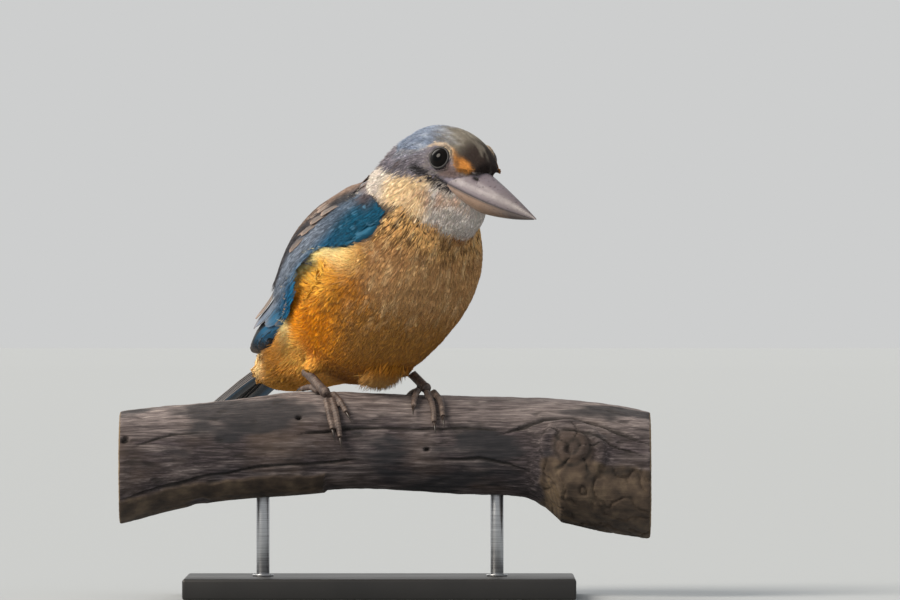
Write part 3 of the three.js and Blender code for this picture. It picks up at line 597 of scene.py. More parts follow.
def lie_of(points, surface):
    """The way the feathers lie at points in the bird's frame, along a surface with these normals."""
    stops = np.linspace(0, 15, 46)
    front, back = (
        np.stack([np.interp(stops, range(16), [edge[k] for edge in edges]) for k in (0, 1)], axis=1)
        for edges in (FRONT_EDGES, BACK_EDGES)
    )
    up = unit(back - front)
    backwards = np.stack([-up[:, 1], 0 * up[:, 0], up[:, 0]], axis=1)
    middle = page_middle(front, back)
    near = ((points[:, None, [0, 2]] - middle[None]) ** 2).sum(axis=2)
    weight = np.exp((near.min(axis=1, keepdims=True) - near) / (2 * 7.0**2))
    lie = (weight[:, :, None] * backwards[None]).sum(axis=1)
    lie = unit(lie)
    side = points[:, [0, 2]]
    lie[:, 2] -= 1.1 * within(side, THROAT, 8)
    lie[:, 2] += 1.15 * within(side, FLANK, 14)
    lie -= surface * (lie * surface).sum(axis=1, keepdims=True)
    return unit(lie)


# The plumage as ellipsoids that flow into each other: middle, half-lengths and pitch in degrees.
MASSES = [
    ((49.5, 0, 88.9), (21.5, 13, 12.6), -27),
    ((32.8, 0, 85.7), (14.7, 15.3, 16.3), 40),
    ((41, 0, 84), (14, 16.6, 12), -10),
    ((50, 0, 71.6), (11.8, 9.5, 12.1), 60),
    ((25.6, 0, 73.8), (17.4, 20.9, 20.1), 56),
    ((18, 0, 50.3), (34.3, 30, 28.9), 55),
    ((-2.3, 0, 40.1), (38.6, 29.1, 34.8), 42),
    ((-35.3, 0, 25.9), (25.8, 18.8, 14.2), 27),
    ((-46.7, 0, 8.5), (28, 15, 7.5), 3),
]
BLEND = 9


def plumage_distance(points):
    """About how far points lie outside the smooth plumage shape; it is negative inside."""
    total = None
    for middle, half, pitch in MASSES:
        cos, sin = math.cos(math.radians(pitch)), math.sin(math.radians(pitch))
        x, y, z = (points - np.array(middle)).T
        local = np.stack([x * cos + z * sin, y, z * cos - x * sin], axis=1)
        near = np.linalg.norm(local / np.array(half), axis=1)
        steep = np.linalg.norm(local / np.array(half) ** 2, axis=1)
        away = near * (near - 1) / np.maximum(steep, 1e-9)
        if total is None:
            total = away
        else:
            joint = np.maximum(BLEND - np.abs(total - away), 0) / BLEND
            total = np.minimum(total, away) - joint * joint * BLEND / 4
    return total


def plumage_slope(points):
    """How plumage_distance grows at each point, over 0.2 mm along each axis."""
    steps = np.eye(3) * 0.1
    return np.stack([plumage_distance(points + s) - plumage_distance(points - s) for s in steps], axis=1)


EYE_RADIUS = 5.15
EYE_DROP = 0.5  # millimetres that the ball's middle lies below its socket's
EYE_RISE = 0.4  # millimetres that the ball stands out past its socket's own
LID_RADIUS = 3.95
EYE_CLEAR = 4.35  # millimetres round the eye's axis that the feathers leave free
EYES = {}  # each ball's middle and the way it looks, in the bird's frame
EYES_PLACED = {}  # and the same in the frame of the whole model
for side in ("right", "left"):
    name = "eye_" + side
    low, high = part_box(name)
    middle = to_bird(np.array((low + high) / 2)[None] / MM)[0] - [0, 0, EYE_DROP]
    outward = unit(plumage_slope(middle[None])[0])
    EYES[side] = (middle + outward * EYE_RISE, outward)
    EYES_PLACED[side] = (from_bird(EYES[side][0][None])[0], outward @ TO_BIRD)
NOSTRIL_AT = np.array([64.6, 5.0, 83.2])

# Where the head's markings end in the side view, as (x, z).
CROWN_EDGE = [(12, 95), (22, 96.6), (30, 95.4), (38, 94.6), (44, 94), (48, 94.8), (50.8, 95.8), (54.7, 95.2),
              (57.1, 93.8), (58.6, 91.4), (60.5, 87.6), (61.1, 85.5), (63.2, 84.1)]
CROWN = [*CROWN_EDGE, (66.5, 84.8), (68, 82), (80, 82), (80, 120), (0, 120), (6, 97)]
BAND = [(68, 82), (66.9, 84.6), *CROWN_EDGE[::-1], (8, 88), (18, 87.4), (27, 88.6), (32.7, 87.8), (42.9, 86),
        (49.9, 84.2), (53.4, 81.4), (56.3, 79.2), (62, 78.8), (68, 79.5)]
PALE_BAND = [(30, 92.5), (40, 92), (48, 93.5), (48, 96), (34, 96)]
LORAL_SPOT = [(56.9, 94.4), (58.7, 92.4), (60.3, 90.2), (60.4, 87.6), (61.3, 85.5), (63.4, 84.3), (66, 84.9),
              (66.6, 86.3), (65, 88.2), (63.3, 89.7), (61.5, 91.7), (59.1, 93.8)]
BROW = [(48.6, 95.3), (50.8, 96.2), (54.7, 95.5), (57.1, 93.8), (58.5, 91.6)]
LORES = [(57.5, 91), (60, 87.6), (61, 85.5), (63, 84), (58.7, 83.2), (55, 84), (54, 86.8)]
GAPE_SKIN = [(50.6, 85.2), (54, 84.8), (58.7, 83.7), (64, 83.6), (64, 80), (57, 79.9), (53.6, 82.2)]
GAPE_LINE = [(46, 88.5), (50, 86), (53, 82.6), (56.2, 79.9), (58, 79.6)]
MALAR = [(44, 76), (52, 74.5), (57, 75.5), (61.5, 72.5), (60, 77.5), (55, 79.5), (50, 80.5), (44, 80)]
COLLAR_ENDS = [(-30, 81), (3, 80), (9, 75), (16, 76), (27, 76.7), (35.3, 76), (42, 73.2), (47.5, 68.7),
               (51.6, 65.6), (54, 62), (58, 61), (80, 60)]
FLANK_ENDS = [(-90, 15), (-62, 15), (-52, 17.5), (-39.9, 19.8), (-34.5, 24), (-22.3, 29), (-18, 33.7),
              (-17, 39.6), (-15.9, 44.3), (-11.4, 49), (-2.8, 53.9), (5.3, 56.6), (12.1, 56.4), (22, 56.4),
              (30.3, 60.8), (34, 70), (60, 90)]

PATCHES = [  # soft patches of colour over the underside: middle and reach in the side view, strength
    {"of": "grey breast", "at": (40, 44), "reach": (18, 20), "colour": "#b38a5c", "share": 0.95},
    {"of": "brown belly", "at": (22, 25), "reach": (22, 17), "colour": "#a87634", "share": 0.9},
    {"of": "low belly", "at": (8, 7), "reach": (30, 9), "colour": "#9a621a", "share": 0.85},
    # Painted light: the lower flank, the vent's side and the hanging tufts face down, but they are painted far
    # paler and brighter than their own buff, as if lit from low on the left.
    {"of": "lower flank with painted light", "at": (-22, 17), "reach": (17, 13), "colour": "#ffbe5c", "share": 0.9},
    {"of": "orange flank", "at": (-6, 31), "reach": (18, 16), "colour": "#ea960e", "share": 1.0},
    {"of": "tawny flank", "at": (18, 43), "reach": (11, 12), "colour": "#b0721e", "share": 0.75},
    {"of": "golden flank", "at": (-1, 48), "reach": (18, 11), "colour": "#f2b848", "share": 1.0},
    {"of": "wing pocket", "at": (20, 54), "reach": (9, 6), "colour": "#e8b866", "share": 0.9},
    {"of": "vent", "at": (-46, 9), "reach": (18, 9), "colour": "#bd842c", "share": 0.9},
    {"of": "pale vent side with painted light", "at": (-55, 13), "reach": (10, 8), "colour": "#ffdca0", "share": 0.8},
    {"of": "hanging tufts with painted light", "at": (13, 3), "reach": (11, 7), "colour": "#ffd890", "share": 0.95},
    {"of": "undertail", "at": (-66, 7), "reach": (11, 8), "colour": "#b08a58", "share": 0.9},
]


def level_at(x, line):
    """The height of a line in the side view."""
    return np.interp(x, *zip(*line))


def past_flank(side):
    """How far side-view points lie over the flank's upper edge, and below it where negative."""
    away = polyline_distance(side, FLANK_ENDS)
    return np.where(side[:, 1] > level_at(side[:, 0], FLANK_ENDS), away, -away)


def mix(below, above, share):
    """One colour over another, each as hex or as linear values, with a share for every point."""
    below, above = (np.array(linear(shade)) if isinstance(shade, str) else shade for shade in (below, above))
    return below + (above - below) * np.asarray(share)[:, None]


def round_eye(points):
    """How far points lie from the axis of the nearer eye."""
    best = np.full(len(points), 1e9)
    for middle, outward in EYES.values():
        rise = (points - middle) @ outward
        away = np.linalg.norm(points - middle - rise[:, None] * outward, axis=1)
        best = np.where((rise > -3) & (away < best), away, best)
    return best


def markings(points):
    """The plumage's linear colours at points in the bird's frame."""
    side = np.stack([points[:, 0], points[:, 2]], axis=1)
    x, y, z = points.T
    blotch = speckle(points, 2.6, 3, 11)
    streak = speckle(points * [0.35, 1, 0.35], 2.2, 2, 12)
    fine = speckle(points * [0.4, 1, 0.4], 1.1, 2, 13)
    fleck = speckle(points, 1.5, 2, 14)

    # Underparts, the flank that laps the wing, and the flecks and bars of the neck and breast.
    shade = mix("#ba7a20", "#9c7046", fade(x, 16, 36))
    for patch in PATCHES:
        reach = np.hypot(*((side - patch["at"]) / patch["reach"]).T)
        shade = mix(shade, patch["colour"], patch["share"] * (1 - fade(reach, 0.3, 1.3)))
    flank_end = level_at(x, FLANK_ENDS)
    # Painted highlight: a pale cream band along the flank's top edge, where it laps the wing.
    by_wing = (1 - fade(flank_end - z, 1, 11)) * (1 - fade(x, 14, 30)) * fade(x, -34, -22)
    shade = mix(shade, "#f4dfa6", 0.85 * by_wing)
    under_collar = level_at(x, COLLAR_ENDS) - z
    neck_side = fade(under_collar, -1.5, 1) * (1 - fade(under_collar, 8, 19))
    neck_side = neck_side * fade(x, 14, 26) * (1 - fade(x, 44, 54))
    shade = mix(shade, "#e6b878", 0.9 * neck_side)
    barred = fade(under_collar, -1, 1.5) * (1 - fade(under_collar, 9, 26)) * fade(x, 24, 40)
    shade = mix(shade, "#2a1206", 0.95 * neck_side * fade(fleck + 0.5 * blotch, 0.08, 0.16))
    shade = mix(shade, "#2f1808", 0.9 * barred * (1 - neck_side) * fade(fleck + 0.5 * blotch, 0.1, 0.2))
    shade = mix(shade, "#dcbf92", 0.4 * fade(x, 10, 30) * fade(-streak, 0.08, 0.4) * fade(z, 20, 36))

    # Collar and throat, and the stripe below the bill.
    collar = mix("#d9cfc5", "#e6caa2", fade(x, 28, 37) * fade(88 - z, 0, 4))
    collar = mix(collar, "#c9c1bb", fade(x + 0.5 * (80 - z), 47, 54))
    collar = mix(collar, "#a7a09b", 0.5 * fade(x, 50, 60) * fade(-streak, 0, 0.35))
    shade = mix(shade, collar, 1 - fade(under_collar + 4 * blotch, -1.6, 1.6))
    shade = mix(shade, "#c59f84", 0.7 * within(side, MALAR, 3) * fade(streak + 0.4, 0, 0.6))

    # Back and rump.
    dorsal = fade(z - flank_end, -1, 2) * fade(under_collar, -1, 2)
    mantle = mix("#7a6c61", "#546c6e", fade(-x, -6, 12))
    mantle = mix(mantle, "#2c7f98", fade(-x, 20, 42))
    shade = mix(shade, mantle, dorsal)

    # Crown, and the forehead before it.
    crown = mix("#8894aa", "#5d6d84", 0.5 * fade(streak, -0.1, 0.5))
    crown = mix(crown, "#c3cbd6", 0.45 * fade(-streak, 0.05, 0.5))
    crown = mix(crown, "#5c7184", 0.6 * (1 - fade(x, 10, 26)))
    crown = mix(crown, "#39424f", 0.5 * fade(fine, 0.12, 0.4))
    forehead = mix("#6d685f", "#2f2623", fade(x, 57, 64))
    forehead = mix(forehead, "#8b857a", 0.5 * fade(-streak, 0.05, 0.4))
    forehead = mix(forehead, "#a49e93", 0.45 * fade(fine, 0.15, 0.45) * (1 - fade(x, 56, 62)))
    frontal = fade(x - 44.6 - np.minimum((103.4 - z) * 1.3, 10) + 5 * streak, -6, 5)
    shade = mix(shade, mix(crown, forehead, frontal), within(side, CROWN, 1.4))

    # The dark band through the eye, with the bare skin and the dark line of the gape.
    band = mix("#77727b", "#8d8893", 0.7 * fade(-streak, 0, 0.35))
    band = mix(band, "#6d5c55", 0.8 * fade(streak, 0.05, 0.35) * (1 - fade(x, 34, 44)))
    band = mix(band, "#8f93a0", 0.6 * within(side, PALE_BAND, 2))
    band = mix(band, "#917a74", 0.8 * within(side, LORES, 2.4))
    band = mix(band, "#2f2d31", 0.35 * fade(fine, 0.1, 0.4))
    band = mix(band, "#77707a", 0.85 * within(side, GAPE_SKIN, 0.8) * fade(blotch + 0.3, 0, 0.4))
    band = mix(band, "#242225", 1 - fade(polyline_distance(side, GAPE_LINE), 0.5, 1.6))
    shade = mix(shade, band, within(side, BAND, 1.2))

    # The tan spot before the eye, the pale brow and the broken pale ring round the eye.
    spot = mix("#bb7f3c", "#c3a07a", fade(z - x, 29, 37))
    spot = mix(spot, "#6e4f33", 0.75 * fade(streak, 0.12, 0.4))
    on_spot = within(side + 0.9 * streak[:, None], LORAL_SPOT, 1.8) * fade(np.abs(y), 5.0, 6.6)
    shade = mix(shade, spot, on_spot)
    shade = mix(shade, "#cbb79f", 0.85 * (1 - fade(polyline_distance(side, BROW), 0.35, 0.9)))
    ring = np.abs(round_eye(points) - 4.9)
    return mix(shade, "#8d8580", 0.6 * (1 - fade(ring, 0.2, 0.5)) * (1 - fade(x + z, 140, 146)))


skin = remeshed(joined_copy("head", "neck", "torso", "wing_right", "wing_left"), 0.75, 10, 1.0, 1.0)
bm = bmesh.new()
bm.from_mesh(skin.data)
seen = set()
islands = []
for start in bm.verts:
    if start in seen:
        continue
    island, edge_of_it = {start}, [start]
    while edge_of_it:
        for edge in edge_of_it.pop().link_edges:
            for vert in edge.verts:
                if vert not in island:
                    island.add(vert)
                    edge_of_it.append(vert)
    seen |= island
    islands.append(island)
islands.sort(key=len)
for island in islands[:-1]:
    bmesh.ops.delete(bm, geom=list(island), context="VERTS")
bm.to_mesh(skin.data)
bm.free()


def tree_of(*nodes):
    """A search tree over CAD nodes, in millimetres."""
    points, faces = [], []
    for name in nodes:
        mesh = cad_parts[name].data
        start = len(points)
        points += [vert.co / MM for vert in mesh.vertices]
        faces += [[start + i for i in face.vertices] for face in mesh.polygons]
    return BVHTree.FromPolygons(points, faces)


def drawn_in(points, level):
    """Points moved square to the smooth plumage shape until they lie at a level of it."""
    for _ in range(4):
        slope = plumage_slope(points)
        away = plumage_distance(points) - level
        step = away / np.maximum(np.linalg.norm(slope, axis=1) / 0.2, 0.3)
        points = points - unit(slope) * step[:, None]
    return points


wing_tree = tree_of("wing_right", "wing_left")
outer_at = corners(skin)
skin_out = normals(skin)
in_bird = to_bird(outer_at)
both_sides = in_bird * [1, 0, 1] + np.abs(in_bird) * [0, 1, 0]
wing_away = np.array([wing_tree.find_nearest(Vector(p))[3] for p in outer_at])
at_wing = 1 - fade(wing_away, 1.2, 2.4)
over_flank = fade(in_bird[:, 2] - level_at(in_bird[:, 0], FLANK_ENDS), -1.5, 1.5)
shoulder = fade(in_bird[:, 0], 6, 13) * fade(in_bird[:, 2], 71, 76)
wing_shows = at_wing * over_flank * (1 - shoulder)
on_face = within(in_bird[:, [0, 2]], [(44, 62), (80, 62), (80, 112), (50, 112)], 14)
under_edge = -past_flank(in_bird[:, [0, 2]])
puff = fade(under_edge, -1.5, 1) * (1 - fade(under_edge, 4, 11)) * fade(in_bird[:, 0], -46, -34)
puff *= 1 - fade(in_bird[:, 0], 20, 30)
depth = 0.8 - 0.35 * on_face - 0.7 * puff
skin_at = outer_at - skin_out * depth[:, None]
under_wing = from_bird(drawn_in(in_bird, -1.8))
skin_at = skin_at + (under_wing - skin_at) * wing_shows[:, None]

# A shallow socket round each ball, which the lid closes: how far the skin may stand out along the eye's axis,
# by the distance from that axis.
SOCKET = ([0, 3.4, 4.1, 5.2, 6.2, 6.3], [1.0, 2.0, 3.0, 3.2, 3.6, 99])
for middle, outward in EYES_PLACED.values():
    rise = (skin_at - middle) @ outward
    away = np.linalg.norm(skin_at - middle - rise[:, None] * outward, axis=1)
    limit = np.interp(away, *SOCKET)
    near_eye = (rise > 0) & (rise > limit)
    skin_at = skin_at - outward * np.where(near_eye, rise - limit, 0)[:, None]
move_corners(skin, skin_at)
skin_out = normals(skin)
eye_away = round_eye(to_bird(skin_at))
bare = within(in_bird[:, [0, 2]], GAPE_SKIN, 0.6)
# The skin shows only between the feathers. It is painted at 0.8 of the plumage's colour as painted shade, and
# dark slate under the folded wing as painted shade in the gaps between the blades. Its bare gape is painted at
# 1.25 of it.
skin_shade = mix(markings(to_bird(skin_at)), "#2c3138", wing_shows)
paint(skin, "Tint", skin_shade * (0.8 + 0.45 * bare)[:, None])


def plumage_finish():
    """Soft contour feathers: matt keratin with flecks about 1 mm across, drawn far coarser than its barbules
    so that they show, and a faint sheen where the light grazes it."""
    made, tree, shader = material("soft_contour_feather")
    tint = node(tree, "Attribute", attribute_name="Tint").outputs["Color"]
    place = node(tree, "TexCoord").outputs["Object"]
    flecks = node(tree, "TexNoise", {"Vector": place, "Scale": 900.0, "Detail": 3.0}).outputs["Fac"]
    light = node(tree, "MapRange", {"Value": flecks, "To Min": 0.86, "To Max": 1.14}).outputs["Result"]
    colour = node(tree, "VectorMath", {0: tint, "Scale": light}, operation="SCALE")
    bump = node(tree, "Bump", {"Height": flecks, "Strength": 0.15, "Distance": 0.0002})
    feed(shader, {"Base Color": colour.outputs["Vector"], "Normal": bump.outputs["Normal"], "Roughness": 0.8,
                  "Sheen Weight": 0.04, "Sheen Roughness": 0.5, "Specular IOR Level": 0.12})
    return made


soft_feather = plumage_finish()
finish(skin, "plumage_skin", soft_feather, "underparts", "head", "neck", "torso")

# The skin's own unwrap, which gives each tuft's patch its place, is made on a copy of it. The tufts then
# crawl over a surface that is the skin, and over the wings the plumage's own outside.
unwrapped = put("unwrapped", skin.data.copy())
edited(unwrapped, bpy.ops.mesh.quads_convert_to_tris)
edited(unwrapped, bpy.ops.uv.smart_project, angle_limit=math.radians(66), island_margin=0.003)
triangles = read(unwrapped.data.polygons, "vertices", 3, np.int32)
unwrap = read(unwrapped.data.uv_layers.active.data, "uv", 2).reshape(-1, 3, 2)
bpy.data.objects.remove(unwrapped)
over_wing = skin_at + (outer_at - skin_at + 0.9 * skin_out) * wing_shows[:, None]
skin_tree = BVHTree.FromPolygons([Vector(p) for p in over_wing], triangles.tolist())
TUFT_PATCH = 0.003  # how wide each tuft's own patch of the unwrap is
chance = np.random.default_rng(20)


def scattered(count, weight):
    """`count` random places on the skin: the point, its normal and its place on the unwrap. weight is how
    densely they lie at each vertex."""
    trio = skin_at[triangles]
    area = np.linalg.norm(np.cross(trio[:, 1] - trio[:, 0], trio[:, 2] - trio[:, 0]), axis=1)
    odds = area * weight[triangles].mean(axis=1)
    chosen = chance.choice(len(triangles), count, p=odds / odds.sum())
    a, b = chance.random((2, count))
    flip = a + b > 1
    a[flip], b[flip] = 1 - a[flip], 1 - b[flip]
    share = np.stack([1 - a - b, a, b], axis=1)[:, :, None]
    out = unit((skin_out[triangles[chosen]] * share).sum(axis=1))
    return (trio[chosen] * share).sum(axis=1), out, (unwrap[chosen] * share).sum(axis=1)


def crawl(points, surface, stops, length, turn):
    """Spines that follow the skin from each point along the lie, turned by `turn`: points and normals at
    each stop, as shares of the length."""
    at, out = points.copy(), surface.copy()
    places, ups, headings = [], [], []
    before = 0.0
    for stop in stops:
        lie = lie_of(to_bird(at), out @ TO_BIRD.T) @ TO_BIRD
        lie = unit(lie * np.cos(turn)[:, None] + np.cross(out, lie) * np.sin(turn)[:, None])
        step = (stop - before) * length
        before = stop
        if stop > 0:
            ahead = at + lie * step[:, None]
            for i, point in enumerate(ahead):
                found, normal, _, _ = skin_tree.find_nearest(Vector(point))
                at[i] = found
                out[i] = 0.5 * out[i] + 0.5 * np.array(normal)
            out = unit(out)
        places.append(at.copy())
        ups.append(out.copy())
        headings.append(lie)
    return places, ups, headings


def lay_out(mesh, layer, values):
    """Adds a UV layer from its values at the mesh's loops."""
    flat = np.ascontiguousarray(values, np.float32).ravel()
    mesh.uv_layers.new(name=layer).data.foreach_set("uv", flat)


def woven(name, rings, tints, across, along, patch, finish_material, slot):
    """Builds one piece from many closed tufts. rings is a list of arrays (tufts, points, 3) from root to tip,
    the last with one point. Every tuft's own bake patch lies at its root's place on the skin's unwrap."""
    tufts = len(rings[0])
    sizes = [ring.shape[1] for ring in rings]
    starts = np.cumsum([0, *sizes])
    points = np.concatenate(rings, axis=1)
    faces = [list(range(sizes[0]))[::-1]]
    for k in range(len(rings) - 1):
        near, far = starts[k], starts[k + 1]
        for j in range(sizes[k]):
            nxt = (j + 1) % sizes[k]
            if sizes[k + 1] == 1:
                faces.append([near + j, near + nxt, far])
            else:
                faces.append([near + j, near + nxt, far + nxt, far + j])
    per_tuft = points.shape[1]
    loops = np.concatenate([np.array(face) for face in faces])
    totals = np.array([len(face) for face in faces])
    offsets = np.arange(tufts)[:, None] * per_tuft
    all_loops = (offsets + loops[None]).ravel().astype(np.int32)
    all_totals = np.tile(totals, tufts).astype(np.int32)
    mesh = bpy.data.meshes.new(name)
    mesh.vertices.add(tufts * per_tuft)
    mesh.vertices.foreach_set("co", (points.reshape(-1, 3) * MM).astype(np.float32).ravel())
    mesh.loops.add(len(all_loops))
    mesh.loops.foreach_set("vertex_index", all_loops)
    mesh.polygons.add(len(all_totals))
    mesh.polygons.foreach_set("loop_start", (np.cumsum(all_totals) - all_totals).astype(np.int32))
    mesh.update(calc_edges=True)
    mesh.validate()
    piece = put(name, mesh)
    mesh.shade_smooth()
    paint(piece, "Tint", np.concatenate(tints, axis=1).reshape(-1, 3))
    own = np.stack([across, along], axis=1)[loops]
    lay_out(mesh, "OFBake", patch[:, None, :] + TUFT_PATCH * (own[None] - 0.5))
    lay_out(mesh, "Vane", np.broadcast_to(own[None], (tufts, *own.shape)))
    return finish(piece, name, finish_material, slot)


def vane_ring(middle, aside, up, half):
    """Across a flat contour feather: a thin ridged blade."""
    low = up * half * 0.15
    return [middle - aside * half - low, middle + up * 0.06,
            middle + aside * half - low, middle - up * (0.06 + half * 0.12)]


def barb_ring(middle, aside, up, half):
    """Across a loose barb: three sides."""
    return [middle - aside * half, middle + up * half, middle + aside * half]


# The coat's two kinds of tuft: the shape of their rings, where these lie from root to tip and how wide they
# are there, how many millimetres the root is sunk, how late the spine lifts, how far tone and lie wander, and
# the painted light: the share of its colour at the root and what it gains to the tip, so that each tuft is
# painted darker at the root as painted shade and lighter at the tip as painted light.
VANE_STOPS, BARB_STOPS = (0.0, 0.4, 0.75, 0.93, 1.0), (0.0, 0.55, 1.0)
VANE = {"ring": vane_ring, "across": [0, 0.5, 1, 0.5], "stops": VANE_STOPS,
        "widths": (VANE_STOPS, (0.5, 1.0, 0.86, 0.5, 0.0)),
        "sunk": 0.25, "bend": 1.4, "wander": 0.08, "unruly": 0.15, "light": (0.95, 0.2)}
BARB = {"ring": barb_ring, "across": [0, 0.5, 1], "stops": BARB_STOPS,
        "widths": (BARB_STOPS, (1.0, 0.835, 0.7)),
        "sunk": 0.15, "bend": 1.2, "wander": 0.09, "unruly": 0.16, "light": (1.0, 0.3)}


def grown(count, weight, length, width, lift, stops, unruly):
    """Roots, sizes and spines for `count` tufts. length, width and lift are given at the skin's vertices."""
    at, out, patch = scattered(count, weight)
    nearest = [skin_tree.find_nearest(Vector(p))[2] for p in at]
    own = triangles[nearest][:, 0]
    long = length[own] * chance.uniform(0.7, 1.2, count)
    wide = width[own] * chance.uniform(0.75, 1.25, count) / 2
    rise = lift[own] * chance.uniform(0.4, 1.4, count)
    places, ups, headings = crawl(at, out, stops, long, chance.normal(0, unruly, count))
    for middle, outward in EYES_PLACED.values():
        for k, place in enumerate(places):
            above = (place - middle) @ outward
            aside = place - middle - above[:, None] * outward
            short = np.clip(EYE_CLEAR - np.linalg.norm(aside, axis=1), 0, 3) * (above > 0)
            places[k] = place + unit(aside) * short[:, None]
    return markings(to_bird(at)), patch, wide, rise, (places, ups, headings)


def laid(name, kind, count, weight, length, width, lift, slot="underparts"):
    """Lays `count` tufts of a kind over the skin, each a closed blade or spike that ends in a point."""
    stops = kind["stops"]
    shade, patch, wide, rise, spines = grown(count, weight, length, width, lift, stops, kind["unruly"])
    tone = chance.normal(1, kind["wander"], (count, 1)) * (1 + chance.normal(0, 0.02, (count, 3)))
    rings, tints = [], []
    for stop, place, up, heading in zip(stops, *spines):
        height = -kind["sunk"] * (1 - stop) + rise * stop ** kind["bend"]
        middle = place + up * height[:, None]
        half = (wide * np.interp(stop, *kind["widths"]))[:, None]
        ring = kind["ring"](middle, unit(np.cross(up, heading)), up, half) if stop < 1 else [middle]
        rings.append(np.stack(ring, axis=1))
        # Painted shade at the root and painted light towards the tip.
        colour = np.clip(shade * (kind["light"][0] + kind["light"][1] * stop) * tone, 0, 1)
        tints.append(np.repeat(colour[:, None], len(ring), axis=1))
    across = np.array(kind["across"] * (len(stops) - 1) + [0.5])
    along = np.array([*np.repeat(stops[:-1], len(kind["across"])), 1.0])
    return woven(name, rings, tints, across, along, patch, soft_feather, slot)


# How the coat changes over the body. Feathers are smallest round the bill and eye, and longest and loosest
# on the flank, where they lap over the lower edge of the folded wing.
BARRED = [(16, 78), (36, 75), (56, 64), (54, 50), (34, 50), (18, 62)]
LONG_FLANK = [(28, 60), (14, 44), (-4, 22), (-40, 8), (-46, 20), (-20, 62)]
x_at, y_at, z_at = in_bird.T
side_view = in_bird[:, [0, 2]]
head_share = fade(x_at * 0.55 + z_at * 0.83, 92, 106)
barred_share = within(side_view, BARRED, 8)
bill_near = 1 - fade(np.linalg.norm(in_bird - [62, 0, 82], axis=1), 9, 24)
flank_share = within(side_view, LONG_FLANK, 10)
back_share = fade(z_at - level_at(x_at, FLANK_ENDS), 0, 6) * (1 - head_share)
near_wing = (1 - fade(wing_away, 1.8, 3.2)) * over_flank
wing_face = over_flank * fade(np.abs(y_at), 15, 17) * (1 - fade(z_at, 70, 73))
near_wing = np.maximum(near_wing, wing_face * (1 - fade(x_at, 22, 25))) * (1 - shoulder)
covered = 1 - fade(near_wing, 0.05, 0.4)
covered *= fade(eye_away, 4.4, 4.8) * (1 - bare)
covered *= fade(np.linalg.norm(both_sides - NOSTRIL_AT, axis=1), 1.3, 1.8)
feather_length = 6.2 - 3.4 * head_share - 1.2 * bill_near + 2.8 * flank_share + 0.8 * back_share
feather_length -= 2.4 * barred_share
feather_width = 2.0 - 1.0 * head_share - 0.4 * bill_near + 0.3 * flank_share + 1.2 * back_share
by_wing = (1 - fade(under_edge, 2, 7)) * (1 - fade(x_at, 24, 31)) * fade(x_at, -50, -40)
feather_length -= 4.2 * by_wing
feather_lift = 0.42 - 0.2 * head_share - 0.06 * bill_near + 0.75 * flank_share + 0.7 * by_wing
barb_width = 0.36 - 0.13 * head_share - 0.05 * bill_near
crowd = covered * (0.8 + 1.2 * head_share + 1.6 * bill_near)
body_crowd = crowd * (1 - 0.6 * head_share)

for k in range(2):
    laid(f"coat_vanes_{k}", VANE, 3800, crowd, feather_length, feather_width, feather_lift * 0.8)
for k in range(4):
    laid(f"coat_barbs_{k}", BARB, 17500, body_crowd, feather_length * 1.1, barb_width, feather_lift * 1.2)
FACE_BARB = {**BARB, "stops": (0.0, 1.0), "unruly": 0.2}
laid("face_barbs", FACE_BARB, 46000, crowd * head_share, feather_length * 0.95, barb_width,
     feather_lift * 1.05, "crown")

# The flank's loose fringe over the wing, and the tufts that hang from the belly between the feet. Neither is
# quite nowhere, so that the odds of a place are never all nought.
TUFTS_LIFT = 3.4
fringe = covered * fade(under_edge, 0, 1.5) * (1 - fade(under_edge, 3, 8)) * (1 - fade(x_at, 26, 33))
fringe *= 1 - fade(-x_at, 40, 56)
laid("flank_fringe", {**BARB, "unruly": 0.3}, 9000, fringe + 1e-9, feather_length * 0.95,
     barb_width * 0.8, feather_lift * 1.2)
hanging = np.exp(-(((x_at - 11) / 4.5) ** 2) - ((y_at + 3) / 4.5) ** 2) * (1 - fade(z_at, 8, 14))
laid("belly_tufts", {**BARB, "unruly": 0.4}, 1500, hanging + 1e-9, feather_length * 0.9,
     barb_width * 1.2, feather_lift * 0 + TUFTS_LIFT)

# ---------------------------------------------------------------------------------------------------------
# Wings: both folded over the back. Each feather is a thin closed blade with a raised shaft: scapulars on top,
# then lesser, median and greater coverts, tertials, secondaries and the long primaries that end in the tip.
# ---------------------------------------------------------------------------------------------------------


def lerp(start, end, share):
    return start + (end - start) * share


def leave_plumage(points, rays, grow):
    """Where rays from inside leave the plumage, grown outwards by `grow`."""
    near, far = np.zeros(len(points)), np.ones(len(points))
    for _ in range(40):
        inside = plumage_distance(points + rays * far[:, None]) < grow
        if not inside.any():
            break
        near, far = np.where(inside, far, near), np.where(inside, far + 2, far)
    for _ in range(14):
        middle = (near + far) / 2
        inside = plumage_distance(points + rays * middle[:, None]) < grow
        near, far = np.where(inside, middle, near), np.where(inside, far, middle)
    return points + rays * near[:, None]


